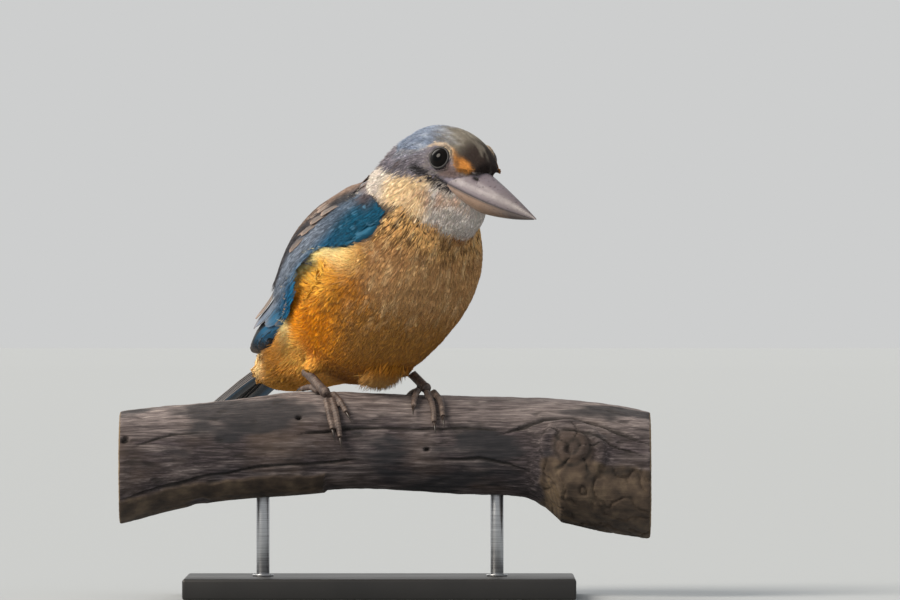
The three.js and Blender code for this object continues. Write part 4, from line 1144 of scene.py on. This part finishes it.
def smooth_line(stops, share):
    """Points on a smooth (centripetal Catmull-Rom) line through 2-D stops."""
    stops = np.array(stops, float)
    last = len(stops) - 1
    padded = np.concatenate([[2 * stops[0] - stops[1]], stops, [2 * stops[-1] - stops[-2]]])
    first = np.clip(np.floor(share * last).astype(int), 0, last - 1)
    into = (share * last - first)[:, None]
    p0, p1, p2, p3 = (padded[first + k] for k in range(4))
    pairs = ((p0, p1), (p1, p2), (p2, p3))
    d0, d1, d2 = (((b - a) ** 2).sum(axis=1, keepdims=True) ** 0.25 for a, b in pairs)
    out = ((p1 - p0) / d0 - (p2 - p0) / (d0 + d1) + (p2 - p1) / d1) * d1
    back = ((p2 - p1) / d1 - (p3 - p1) / (d1 + d2) + (p3 - p2) / d2) * d1
    squared, cubed = 3 * p2 - 3 * p1 - 2 * out - back, 2 * p1 - 2 * p2 + out + back
    return p1 + out * into + squared * into**2 + cubed * into**3


def on_wing(along, down, depth):
    """A point of the right wing in the bird's frame: from the shoulder (along 0) to the tip (1), from its
    upper edge (down 0) to its lower edge (1), and `depth` under its smooth outer face."""
    fan = lerp(7.3 / 15, 0.75 / 15, along)
    front, back = smooth_line(FRONT_EDGES, fan), smooth_line(BACK_EDGES, fan)
    up = unit(back - front)
    middle = page_middle(front, back)
    upper, lower = lerp(26, 50, fade(along, 0.6, 1)), lerp(102, 90, fade(along, 0, 0.35))
    turn = -np.radians(lerp(upper, lower, down))
    ray = np.stack([up[:, 0] * np.cos(turn), np.sin(turn), up[:, 1] * np.cos(turn)], axis=1)
    lift = 0.6 + lerp(3.2, 1.6, fade(down, 0.55, 1)) * fade(along, 0, 0.16) + 2.2 * fade(along, 0.5, 0.9)
    middle = np.stack([middle[:, 0], 0 * turn, middle[:, 1]], axis=1)
    return leave_plumage(middle, ray, lift - depth)


GIRTH = ([0, 0.2, 0.5, 0.7, 0.8, 0.9, 1], [33, 36, 37, 30, 22, 17, 12.5])  # millimetres from down 0 to down 1
SHINGLE = 0.1  # each feather's lower edge rides over the next one below
WING_ROWS = [  # each with its lowest, middle and highest feather's root and tip as (along, down), and depths
    {"of": "primaries", "count": 8, "half": 3.1, "depths": (4.4, 2.1), "long": True,
     "roots": [(0.42, 1.1), (0.4, 0.9), (0.4, 0.62)], "tips": [(0.8, 1.1), (0.93, 0.9), (0.985, 0.66)]},
    {"of": "secondaries", "count": 11, "half": 2.9, "depths": (3.4, 1.5), "long": True,
     "roots": [(0.24, 1.1), (0.2, 0.7), (0.2, 0.3)], "tips": [(0.6, 1.02), (0.76, 0.72), (0.85, 0.42)]},
    {"of": "tertials", "count": 4, "half": 4.0, "depths": (2.6, 0.8), "long": True,
     "roots": [(0.16, 0.36), (0.16, 0.22), (0.14, 0.06)], "tips": [(0.84, 0.34), (0.74, 0.2), (0.58, 0.06)]},
    {"of": "greater coverts", "count": 13, "half": 2.7, "depths": (2.7, 1.0),
     "roots": [(0.14, 1.12), (0.12, 0.64), (0.12, 0.14)], "tips": [(0.38, 1.1), (0.42, 0.62), (0.42, 0.16)]},
    {"of": "median coverts", "count": 13, "half": 2.5, "depths": (2.0, 0.7),
     "roots": [(0.09, 1.12), (0.07, 0.6), (0.08, 0.14)], "tips": [(0.25, 1.12), (0.28, 0.62), (0.28, 0.16)]},
    *({"of": "lesser coverts", "count": 14, "half": 2.1, "depths": (1.7, 0.45 - 0.04 * k),
       "roots": [(0.13 - 0.04 * k, 1.15), (0.11 - 0.04 * k, 0.6), (0.11 - 0.04 * k, 0.18)],
       "tips": [(0.22 - 0.04 * k, 1.15), (0.22 - 0.04 * k, 0.6), (0.22 - 0.04 * k, 0.2)]} for k in range(5)),
    *({"of": "scapulars", "count": 7, "half": 3.2, "depths": (1.2, -0.1 - 0.12 * k),
       "roots": [(0.26 - 0.065 * k, 0.36), (0.24 - 0.06 * k, 0.12), (0.22 - 0.05 * k, -0.12)],
       "tips": [(0.46 - 0.07 * k, 0.38), (0.5 - 0.07 * k, 0.12), (0.48 - 0.07 * k, -0.14)]}
      for k in range(4)),
]
COLUMNS = np.array([-1, -0.9, -0.45, -0.05, 0.05, 0.45, 0.9, 1])
STATIONS = np.array([0, 0.1, 0.22, 0.36, 0.5, 0.62, 0.73, 0.82, 0.89, 0.94, 0.975, 1.0])


def blade(along):
    """Half of a feather's width, as a share of its widest, along it."""
    tip = np.clip((along - 0.8) / 0.2, 0, 1)
    return (0.45 + 0.55 * fade(along, 0, 0.35)) * np.sqrt(np.maximum(1 - tip**2.2, 0.01))


def stops_at(stops, share):
    """Places between a row's stops, by their share of the way from its lowest feather to its highest."""
    places = np.linspace(0, 1, len(stops))
    return [np.interp(share, places, [stop[k] for stop in stops]) for k in (0, 1)]


def wing_surface(row, share, along, across, jitter):
    """Where a row's blades lie, and how far down the wing each point is."""
    root, tip = stops_at(row["roots"], share), stops_at(row["tips"], share)
    a = lerp(root[0], tip[0] + jitter[:, 0] * 0.012, along)
    d = lerp(root[1], tip[1] + jitter[:, 1] * 0.02, along) + across / np.interp(a, *GIRTH)
    depth = lerp(*row["depths"], fade(along, 0, 0.9)) - SHINGLE * across + 0.1 * jitter[:, 2]
    depth = depth + 0.25 * (across / row["half"]) ** 2
    place = on_wing(a, d, depth)
    covered = 1 - fade(past_flank(place[:, [0, 2]]), -1.5, 2)
    return on_wing(a, d, depth + 5 * covered), d, a


def wing_colour(row, down, ahead, along, side):
    """Colours over a row's blades: bluest low on the wing, grey-brown towards the back, the outer web of each
    flight feather blue, its inner web near black, and a pale line along its edges."""
    low, outer_web = fade(down, 0.42, 0.74), fade(side, -0.1, 0.1)
    edge, tip = fade(np.abs(side), 0.86, 0.98), fade(along, 0.9, 1.0)
    if row["of"] == "primaries":
        outer = mix("#5f7286", "#1f6289", fade(along, 0.2, 0.7))
        shade = mix("#0b0a0b", outer, outer_web * (1 - 0.85 * fade(along, 0.72, 0.92)))
        return mix(shade, "#94877f", 0.8 * np.maximum(edge * 0.9, tip * 0.5))
    if row["of"] == "secondaries":
        shade = mix("#101114", mix("#7b7d88", "#1c6389", low), outer_web)
        return mix(shade, "#b7afb0", np.maximum(edge * (1 - 0.7 * low), tip * 0.3))
    if row["of"] == "tertials":
        shade = mix("#39332f", "#75685f", outer_web * 0.8)
        return mix(shade, "#c4aa98", 0.85 * np.maximum(edge, tip * 0.5))
    if row["of"] == "greater coverts":
        shade = mix(mix("#5b5049", "#6d7888", fade(down, 0.2, 0.6)), "#27607f", fade(down, 0.6, 0.95))
        shade = mix(shade * 0.5, shade, fade(side, -0.5, 0.3))
        return mix(shade, "#a3a4ad", 0.5 * np.maximum(edge, tip))
    if row["of"] in ("median coverts", "lesser coverts"):
        return covert_tone(down, ahead)
    shade = mix("#4a3f38", "#867062", fade(along, 0.3, 0.95))
    shade = mix(shade, "#4b4846", 0.7 * fade(down, 0.1, 0.4))
    return mix(shade, "#bfa08d", 0.6 * np.maximum(edge, tip))


def covert_tone(down, ahead):
    """The small coverts: grey-brown above, slate blue in the middle and deep teal low on the shoulder."""
    shade = mix("#937d70", "#4b4a4e", fade(down, 0.12, 0.34))
    shade = mix(shade, "#5f7084", fade(down, 0.36, 0.5))
    shade = mix(shade, "#175a78", fade(down + 0.5 * (0.12 - ahead), 0.58, 0.78))
    return mix(shade, "#6d5b58", 0.8 * (1 - fade(ahead, -0.02, 0.05)) * (1 - fade(down, 0.6, 0.9)))


def quill_finish():
    """Flight feathers and coverts: satin vanes with barbs 0.4 mm apart that slant out from the shaft to the
    edge, and a faint powdery bloom."""
    made, tree, shader = material("satin_flight_feather")
    tint = node(tree, "Attribute", attribute_name="Tint").outputs["Color"]
    web = node(tree, "UVMap", uv_map="Vane").outputs["UV"]
    parts = node(tree, "SeparateXYZ", {"Vector": web}).outputs
    out = node(tree, "Math", {0: parts["X"]}, operation="ABSOLUTE").outputs[0]
    slant = node(tree, "Math", {0: out, 1: -0.8, 2: parts["Y"]}, operation="MULTIPLY_ADD").outputs[0]
    lines = node(tree, "CombineXYZ", {"X": slant}).outputs["Vector"]
    bands = {"Vector": lines, "Scale": 8.0, "Distortion": 0.6, "Detail": 2.0}
    barb = node(tree, "TexWave", bands, wave_type="BANDS", bands_direction="X").outputs["Fac"]
    place = node(tree, "TexCoord").outputs["Object"]
    wear = node(tree, "TexNoise", {"Vector": place, "Scale": 350.0, "Detail": 4.0}).outputs["Fac"]
    both = node(tree, "Math", {0: barb, 1: wear}, operation="ADD").outputs[0]
    light = node(tree, "MapRange", {"Value": both, "From Max": 2.0, "To Min": 0.72, "To Max": 1.28})
    colour = node(tree, "VectorMath", {0: tint, "Scale": light.outputs["Result"]}, operation="SCALE")
    bump = node(tree, "Bump", {"Height": both, "Strength": 0.35, "Distance": 0.0002})
    feed(shader, {"Base Color": colour.outputs["Vector"], "Normal": bump.outputs["Normal"],
                  "Roughness": 0.55, "Specular IOR Level": 0.3})
    return made


quill = quill_finish()


def bladed(name, groups, mirror, thick, slot, *nodes):
    """One piece from groups of blades. Each group holds its blades' middle surface as (blades, stations,
    columns, 3) points in the bird's frame, their linear colours and the millimetres across and along."""
    points, colours, faces, bake, web = [], [], [], [], []
    total = sum(len(group["at"]) for group in groups)
    tiles = math.ceil(math.sqrt(total))
    start = first_tile = 0
    for group in groups:
        at = group["at"] * ([1, -1, 1] if mirror else [1, 1, 1])
        blades, stations, columns = at.shape[:3]
        up = unit(np.cross(np.gradient(at, axis=1), np.gradient(at, axis=2))) * (-1 if mirror else 1)
        up = up * np.sign((up * at).sum(axis=-1, keepdims=True).mean(axis=(1, 2), keepdims=True) + 1e-9)
        shaft = np.where(np.abs(COLUMNS) < 0.1, 0.09, 0)[None, None, :, None]
        both = np.stack([at + up * (thick / 2 + shaft), at - up * thick / 2], axis=1)
        points.append(from_bird(both.reshape(-1, 3)))
        colours.append(np.stack([group["tint"], group["tint"] * 0.7], axis=1).reshape(-1, 3))
        grid = np.arange(stations * columns).reshape(stations, columns)
        quads = np.stack([grid[:-1, :-1], grid[1:, :-1], grid[1:, 1:], grid[:-1, 1:]], axis=-1).reshape(-1, 4)
        under = stations * columns
        rim = np.concatenate([grid[0, :], grid[1:, -1], grid[-1, -2::-1], grid[-2:0:-1, 0]])
        after = np.roll(rim, -1)
        walls = np.stack([rim, rim + under, after + under, after], axis=1)
        one = np.concatenate([quads, quads[:, ::-1] + under, walls[:, ::-1]])
        one = one[:, ::-1] if mirror else one
        faces.append((one[None] + np.arange(blades)[:, None, None] * under * 2 + start).reshape(-1, 4))
        start += blades * under * 2
        u, v = np.meshgrid((COLUMNS + 1) / 2, STATIONS)
        tile = np.arange(first_tile, first_tile + blades)
        first_tile += blades
        corner = np.stack([tile % tiles, tile // tiles], axis=1)[:, None, None, None] + 0.05
        own = np.stack([u, v], axis=-1)[None, None] * 0.9
        bake.append(np.broadcast_to((corner + own) / tiles, (blades, 2, stations, columns, 2)).reshape(-1, 2))
        web.append(np.repeat(group["web"][:, None], 2, axis=1).reshape(-1, 2))
    mesh = bpy.data.meshes.new(name)
    faces = np.concatenate(faces)
    mesh.from_pydata((np.concatenate(points) * MM).tolist(), [], faces.tolist())
    mesh.validate()
    piece = edited(put(name, mesh), bpy.ops.mesh.normals_make_consistent, inside=False)
    smoothed(piece, 50)
    paint(piece, "Tint", np.concatenate(colours))
    loops = read(mesh.loops, "vertex_index", 1, np.int32)[:, 0]
    for layer, values in (("OFBake", bake), ("Vane", web)):
        lay_out(mesh, layer, np.concatenate(values)[loops])
    return finish(piece, name, quill, slot, *nodes)


def row_of_blades(surface, colour, row):
    """The blades of one row, evenly spread, with a little of each feather's own wander."""
    count = row["count"]
    order = np.linspace(0, 1, count)
    wide = row["half"] * chance.uniform(0.93, 1.07, count)
    jitter = chance.normal(0, 1, (count, 3))
    share, along, side = np.meshgrid(order, STATIONS, COLUMNS, indexing="ij")
    nicks = 1 - 0.1 * chance.random(share.shape) * fade(along, 0.25, 0.6) * (np.abs(side) > 0.99)
    across = side * wide[:, None, None] * blade(along) * nicks
    own = np.broadcast_to(jitter[:, None, None], (*share.shape, 3)).reshape(-1, 3)
    at, down, ahead = surface(row, share.ravel(), along.ravel(), across.ravel(), own)
    shape = share.shape
    tint = colour(row, down, ahead, along.ravel(), side.ravel())
    tint = tint.reshape(*shape, 3) * chance.normal(1, 0.07, (count, 1, 1, 1)).clip(0.8, 1.2)
    at = at.reshape(*shape, 3)
    length = np.linalg.norm(at[:, -1, 3] - at[:, 0, 3], axis=1)[:, None, None]
    return {"at": at, "tint": np.clip(tint, 0, 1), "web": np.stack([across, along * length], axis=-1) / 10}


flight = [row_of_blades(wing_surface, wing_colour, row) for row in WING_ROWS[:3]]
coverts = [row_of_blades(wing_surface, wing_colour, row) for row in WING_ROWS[3:]]
for side, mirror in (("right", False), ("left", True)):
    bladed("flight_feathers_" + side, flight, mirror, 0.24, "wing", "wing_" + side)
    bladed("coverts_" + side, coverts, mirror, 0.13, "wing", "wing_" + side)

# Loose silky barbs over the coverts and scapulars, which soften their edges into each other.
count = 9500
ahead = chance.uniform(-0.06, 0.62, count)
down = chance.uniform(-0.1, 1.0, count)
steps = chance.uniform(0.03, 0.07, count)
slant = chance.normal(0, 0.01, count)
rise = chance.uniform(0.05, 0.5, count)
sunk = 0.35 - 0.6 * (1 - fade(down, 0.3, 0.45))
shade = covert_tone(down, ahead)
later = mix("#7b6a60", "#4c4a4f", fade(down, 0.1, 0.3))
later = mix(mix(later, "#8a95a6", fade(down, 0.34, 0.5)), "#1f6d97", fade(down, 0.62, 0.85))
shade = mix(shade, later, fade(ahead, 0.14, 0.3))
shade = shade * (1 + chance.normal(0, 0.22, (count, 1))).clip(0.5, 1.8)
rings, tints = [], []
for stop in (0.0, 0.5, 1.0):
    row_at = [ahead + stop * steps, down + stop * slant]
    here = on_wing(*row_at, sunk - rise * stop)
    aside = unit(on_wing(row_at[0], row_at[1] + 0.01, sunk - rise * stop) - here)
    up = unit(np.cross(aside, on_wing(row_at[0] + 0.01, row_at[1], sunk - rise * stop) - here))
    up = up * np.sign((up * here).sum(axis=1, keepdims=True))
    ring = [here - aside * 0.14, here + up * 0.12, here + aside * 0.14] if stop < 1 else [here]
    rings.append(np.stack(ring, axis=1))
    # Painted shade at the root and painted light towards the tip.
    tints.append(np.repeat(np.clip(shade * (0.85 + 0.25 * stop), 0, 1)[:, None], len(ring), axis=1))
shows = (past_flank(here[:, [0, 2]]) > -0.5) & ((here[:, 0] < 8) | (here[:, 2] < 75))
tiles = math.ceil(math.sqrt(count))
cells = np.stack([np.arange(count) % tiles, np.arange(count) // tiles], axis=1) / tiles + 0.004
across, along = np.array([0, 0.5, 1] * 2 + [0.5]), np.array([0.0] * 3 + [0.5] * 3 + [1.0])
for side, mirror in (("right", 1), ("left", -1)):
    own = [ring[shows] * [1, mirror, 1] for ring in rings]
    own = [from_bird(ring.reshape(-1, 3)).reshape(ring.shape) for ring in own]
    tint = [shades[shows] for shades in tints]
    woven("wing_silk_" + side, own, tint, across, along, cells[shows], soft_feather, "wing")

# ---------------------------------------------------------------------------------------------------------
# Tail: twelve feathers of nearly equal length, stacked like a low roof with the middle pair on top. They are
# blue above with black shafts and pale edges, and darker beneath.
# ---------------------------------------------------------------------------------------------------------

TAIL_PITCH = math.radians(-28.4)
TAIL_BACK = np.array([-math.cos(TAIL_PITCH), 0, math.sin(TAIL_PITCH)])
TAIL_ROOT = np.array([-62.6, 0, 13.8])
TAIL_LENGTH = 40.7
TAIL_ROOF = 0.12


def tail_surface(row, share, along, across, jitter):
    """Where the blades of one tail feather lie: each pair lower than the last and further out."""
    pair, side = row["pair"], row["side"]
    aside = unit(np.array([0, 1, -side * TAIL_ROOF]))
    up = np.cross(aside, -TAIL_BACK)
    up = up * np.sign(up[2])
    centre = 3.1 + 0.85 * pair if pair else 1.2
    level = -pair * 0.85 - (0.42 if side < 0 and not pair else 0)
    length = TAIL_LENGTH - 0.2 * pair * pair
    out = (side * centre * lerp(0.72, 1, along) + across)[:, None]
    camber = (level - 0.22 * (across / row["half"]) ** 2 + 0.5 * np.sin(along * 3) * 0.3)[:, None]
    return TAIL_ROOT + TAIL_BACK * (along * length)[:, None] + aside * out + up * camber, share, along


def tail_colour(row, down, ahead, along, side):
    """A tail feather: blue on its outer web, darker on its inner one unless it is of the middle pair."""
    outer = fade(side * row["side"], -0.15, 0.15) if row["pair"] else np.ones(len(side))
    shade = mix("#20303a", "#2b5f80", outer)
    shade = mix(shade, "#12151a", 0.75 * (1 - fade(np.abs(side), 0.04, 0.2)))
    return mix(shade, "#a79c94", 0.8 * fade(np.abs(side), 0.85, 0.98))


tail_feathers = []
for pair in range(6):
    for side in (1, -1):
        row = {"pair": pair, "side": side, "count": 1, "half": 3.7}
        tail_feathers.append(row_of_blades(tail_surface, tail_colour, row))
bladed("tail_feathers", tail_feathers, False, 0.26, "tail", "tail")

# ---------------------------------------------------------------------------------------------------------
# Bill: a stout horn sheath in two halves that meet along the mouth, slate above and horn-pink beneath, with
# a nostril near the root on each side.
# ---------------------------------------------------------------------------------------------------------

BILL_ROOT = np.array([56.4, 0, 80.6])
BILL_PITCH = math.radians(19.2)
BILL_LENGTH = 41.4


def on_bill(points):
    """Points of the bill's own frame, which starts at its root, in the bird's frame."""
    x, y, z = np.asarray(points, float).T
    cos, sin = math.cos(BILL_PITCH), math.sin(BILL_PITCH)
    return np.stack([x * cos + z * sin, y, z * cos - x * sin], axis=1) + BILL_ROOT


def horn_half(name, side, finish_material, slot, *nodes):
    """Half of the bill, wrapped from a sphere whose poles are its root and its tip."""
    bpy.ops.mesh.primitive_uv_sphere_add(segments=96, ring_count=110, radius=1)
    piece = bpy.context.object
    ball = corners(piece) * MM
    turn = np.arctan2(ball[:, 1], ball[:, 0])
    along = 1 - np.arccos(np.clip(ball[:, 2], -1, 1)) / math.pi
    cap = np.clip(along / 0.05, 0, 1)
    share = np.clip((along - 0.05) / 0.95, 0, 1)
    share = 1 - (1 - share) ** 1.15
    blunt = np.sqrt(np.clip((1 - share) / 0.012, 0, 1))
    length = BILL_LENGTH - (1 if side < 0 else 0)
    half = 0.32 + 10.4 * (1 - share) ** 1.08
    tall = 0.35 + 7.3 * (1 - share**1.55) if side > 0 else 0.35 + 8.1 * (1 - share**1.9)
    mouth = -1.3 * np.sin(math.pi * share) + side * 0.05
    if side < 0:
        tall = tall * (0.7 + 0.3 * fade(share, 0, 0.36))
    reach = side * tall - mouth
    x_round, up = np.cos(turn), np.sin(turn)
    arch = np.where(up > 0, np.abs(up) ** (1.2 if side > 0 else 1.05), -0.02 * np.abs(up))
    y = x_round * half * cap * blunt
    z = mouth + reach * arch * cap * blunt
    x = -1 + (length + 1) * share
    if side > 0:
        ridge = np.exp(-((y / 1.6) ** 2)) * fade(arch, 0.7, 1)
        z = z + 0.28 * ridge * (1 - share)
        groove = np.exp(-(((arch - 0.62) / 0.1) ** 2)) * fade(share, 0.1, 0.2) * (1 - fade(share, 0.3, 0.6))
        y = y * (1 - 0.035 * groove)
        pit = np.hypot((x - 8.2) / 1.9, (z - 5.0 + 0.15 * (x - 8.2)) / 0.75)
        y = y * (1 - 0.16 * (1 - fade(pit, 0.35, 1.1)))
    move_corners(piece, from_bird(on_bill(np.stack([x, y, z], axis=1))))
    edited(piece, bpy.ops.mesh.normals_make_consistent, inside=False)
    smoothed(piece)
    paint(piece, "Ahead", share)
    paint(piece, "Height", np.clip(arch, 0, 1))
    # Painted shade: the nostril pit is marked to be painted near black.
    paint(piece, "NostrilShade", 1 - fade(pit, 0.5, 1.0) if side > 0 else 0 * share)
    return finish(piece, name, finish_material, slot, *nodes)


def horn(name, root, middle, tip, rim, specks):
    """Horn: satin keratin, faintly clouded, with small dark wear specks about 0.3 mm across. It is painted
    darker along the mouth line, as painted shade, and near black in the nostril, as painted shade."""
    made, tree, shader = material(name)
    place = node(tree, "TexCoord").outputs["Object"]
    ahead, height, pit = (
        node(tree, "Attribute", attribute_name=part).outputs["Fac"] for part in ("Ahead", "Height", "NostrilShade")
    )
    clouds = {"Vector": place, "Scale": 230.0, "Detail": 6.0, "Roughness": 0.6}
    cloud = node(tree, "TexNoise", clouds).outputs["Fac"]
    fine = node(tree, "TexNoise", {"Vector": place, "Scale": 1100.0, "Detail": 3.0}).outputs["Fac"]
    shifted = node(tree, "Math", {0: cloud, 1: 0.45, 2: ahead}, operation="MULTIPLY_ADD").outputs[0]
    colour = node(tree, "ValToRGB", {"Fac": shifted}, stops=[(0.15, root), (0.55, middle), (1.1, tip)])
    colour = colour.outputs["Color"]
    # Painted shade: darker along the mouth line, where the two halves meet.
    edge = node(tree, "MapRange", {"Value": height, "From Max": 0.14, "To Min": 0.85, "To Max": 0.0})
    dots = node(tree, "MapRange", {"Value": fine, "From Min": 0.61, "From Max": 0.68, "To Max": specks})
    layers = ((edge.outputs["Result"], rim), (dots.outputs["Result"], "#2d2628"), (pit, "#080606"))
    for share, above in layers:
        colour = node(tree, "Mix", {0: share, 6: colour, 7: above}, data_type="RGBA").outputs[2]
    gloss = node(tree, "MapRange", {"Value": cloud, "To Min": 0.26, "To Max": 0.55})
    both = node(tree, "Math", {0: fine, 1: cloud}, operation="ADD").outputs[0]
    bump = node(tree, "Bump", {"Height": both, "Strength": 0.3, "Distance": 0.0002})
    feed(shader, {"Base Color": colour, "Roughness": gloss.outputs["Result"],
                  "Normal": bump.outputs["Normal"], "Subsurface Weight": 0.06,
                  "Subsurface Radius": (0.002, 0.001, 0.0007)})
    return made


slate_horn = horn("slate_horn", "#786f77", "#71686f", "#5a5256", "#2b2427", 0.7)
pink_horn = horn("pink_horn", "#a99184", "#8f7766", "#4f4745", "#3b2f2c", 0.4)
horn_half("bill_sheath_above", 1, slate_horn, "bill", "bill_upper")
horn_half("bill_sheath_below", -1, pink_horn, "bill_below", "bill_lower")

# ---------------------------------------------------------------------------------------------------------
# Eyes: polished near-black glass balls, set in shallow sockets of the skin. A thin rim of bare lid closes each
# socket round its ball.
# ---------------------------------------------------------------------------------------------------------


def glass_eye():
    """A dark glass eye: a black pupil in a brown-black iris, under a clear polished front."""
    made, tree, shader = material("dark_glass_eye")
    centre = node(tree, "Attribute", attribute_name="FromPupil").outputs["Fac"]
    place = node(tree, "TexCoord").outputs["Object"]
    streaks = node(tree, "TexNoise", {"Vector": place, "Scale": 1500.0, "Detail": 3.0}).outputs["Fac"]
    shift = node(tree, "Math", {0: streaks, 1: 0.12, 2: centre}, operation="MULTIPLY_ADD").outputs[0]
    stops = [(0.5, "#020202"), (0.6, "#0d0806"), (0.85, "#080504")]
    shade = node(tree, "ValToRGB", {"Fac": shift}, stops=stops)
    feed(shader, {"Base Color": shade.outputs["Color"], "Roughness": 0.05, "Specular IOR Level": 0.12})
    return made


def bare_lid():
    """Thin bare lid skin, dark grey, in small folds about 0.5 mm apart."""
    made, tree, shader = material("bare_lid_skin")
    place = node(tree, "TexCoord").outputs["Object"]
    folds = node(tree, "TexNoise", {"Vector": place, "Scale": 1800.0, "Detail": 2.0}).outputs["Fac"]
    shade = node(tree, "ValToRGB", {"Fac": folds}, stops=[(0.3, "#0f0d0d"), (0.7, "#272324")])
    bump = node(tree, "Bump", {"Height": folds, "Strength": 0.4, "Distance": 0.0001})
    feed(shader, {"Base Color": shade.outputs["Color"], "Normal": bump.outputs["Normal"], "Roughness": 0.5})
    return made


def faced(piece, way):
    """Turns a new round piece's pole to a way, and shades it smooth."""
    piece.rotation_euler = Vector(way).to_track_quat("Z", "Y").to_euler()
    return smoothed(placed(piece))


dark_glass = glass_eye()
lid_skin = bare_lid()
LID_HALF = 0.42 * MM  # half the thickness of the rim
for side, (middle, axis) in EYES_PLACED.items():
    place = Vector(middle * MM)
    bpy.ops.mesh.primitive_uv_sphere_add(segments=64, ring_count=32, radius=EYE_RADIUS * MM, location=place)
    ball = faced(bpy.context.object, axis)
    away = np.arccos(np.clip(unit(corners(ball) - middle) @ axis, -1, 1))
    paint(ball, "FromPupil", np.clip(away / 0.8, 0, 1))
    finish(ball, "glass_eye_" + side, dark_glass, "eye", "eye_" + side)
    rim_at = middle + axis * math.sqrt(EYE_RADIUS**2 - LID_RADIUS**2)
    bpy.ops.mesh.primitive_torus_add(major_segments=64, minor_segments=14, major_radius=LID_RADIUS * MM,
                                     minor_radius=LID_HALF, location=Vector(rim_at * MM))
    finish(faced(bpy.context.object, axis), "lid_" + side, lid_skin, "eye")

# ---------------------------------------------------------------------------------------------------------
# Feet: short grey-brown shanks and toes in one scaled skin each, three toes forward and one back, with dark
# curved claws.
# ---------------------------------------------------------------------------------------------------------


def scaled_skin():
    """Foot skin: small dry scutes about 0.9 mm across, ridged across each toe, darker in the grooves."""
    made, tree, shader = material("scaled_foot_skin")
    place = node(tree, "TexCoord").outputs["Object"]
    groove = node(tree, "Attribute", attribute_name="Groove").outputs["Fac"]
    scutes = node(tree, "TexVoronoi", {"Vector": place, "Scale": 1100.0}, feature="DISTANCE_TO_EDGE")
    cloud = node(tree, "TexNoise", {"Vector": place, "Scale": 420.0, "Detail": 4.0}).outputs["Fac"]
    stops = [(0.3, "#3f3533"), (0.55, "#66574f"), (0.75, "#83736b")]
    shade = node(tree, "ValToRGB", {"Fac": cloud}, stops=stops).outputs["Color"]
    darker_in_grooves = node(tree, "Mix", {0: groove, 6: shade, 7: "#352a27"}, data_type="RGBA").outputs[2]
    bump = node(tree, "Bump", {"Height": scutes.outputs["Distance"], "Strength": 0.5, "Distance": 0.0002})
    feed(shader, {"Base Color": darker_in_grooves, "Normal": bump.outputs["Normal"], "Roughness": 0.6})
    return made


def claw_horn():
    """Claw horn: black-brown, mottled in patches about 1.4 mm long, and polished by use."""
    made, tree, shader = material("dark_claw_horn")
    place = node(tree, "TexCoord").outputs["Object"]
    mottle = node(tree, "TexNoise", {"Vector": place, "Scale": 700.0, "Detail": 3.0}).outputs["Fac"]
    shade = node(tree, "ValToRGB", {"Fac": mottle}, stops=[(0.3, "#1b1513"), (0.75, "#3f332d")])
    gloss = node(tree, "MapRange", {"Value": mottle, "To Min": 0.25, "To Max": 0.45})
    feed(shader, {"Base Color": shade.outputs["Color"], "Roughness": gloss.outputs["Result"]})
    return made


foot_skin = scaled_skin()
claw_finish = claw_horn()
TOES = ("outer", "middle", "inner", "hind")
SCUTE_PITCH = 1.15  # millimetres from one groove across a toe to the next
for side in ("right", "left"):
    bones = [f"tarsus_{side}", *(f"toe_{side}_{toe}" for toe in TOES)]
    foot = remeshed(joined_copy(*bones), 0.26, 6, 0.32, 0.3)
    at = corners(foot)
    out = normals(foot)
    groove = np.zeros(len(at))
    nearest = np.full(len(at), 1e9)
    for name in bones:
        points = corners(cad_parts[name])
        middle = points.mean(axis=0)
        axis = np.linalg.svd(points - middle)[2][0]
        along = (at - middle) @ axis
        away = np.linalg.norm(at - middle - along[:, None] * axis, axis=1)
        reach = np.abs((points - middle) @ axis).max()
        own = (away < nearest) & (np.abs(along) < reach + 1)
        nearest = np.where(own, away, nearest)
        wave = np.abs(((along / SCUTE_PITCH) % 1) - 0.5) * 2
        groove = np.where(own, fade(wave, 0.72, 1.0), groove)
    move_corners(foot, at + out * (0.09 - 0.2 * groove)[:, None])
    paint(foot, "Groove", groove * 0.8)
    finish(foot, "foot_" + side, foot_skin, "leg", *bones)
    for toe in TOES:
        claw = modified(joined_copy(f"claw_{side}_{toe}"), "SUBSURF", levels=2)
        finish(smoothed(claw), f"horn_claw_{side}_{toe}", claw_finish, "claw", f"claw_{side}_{toe}")
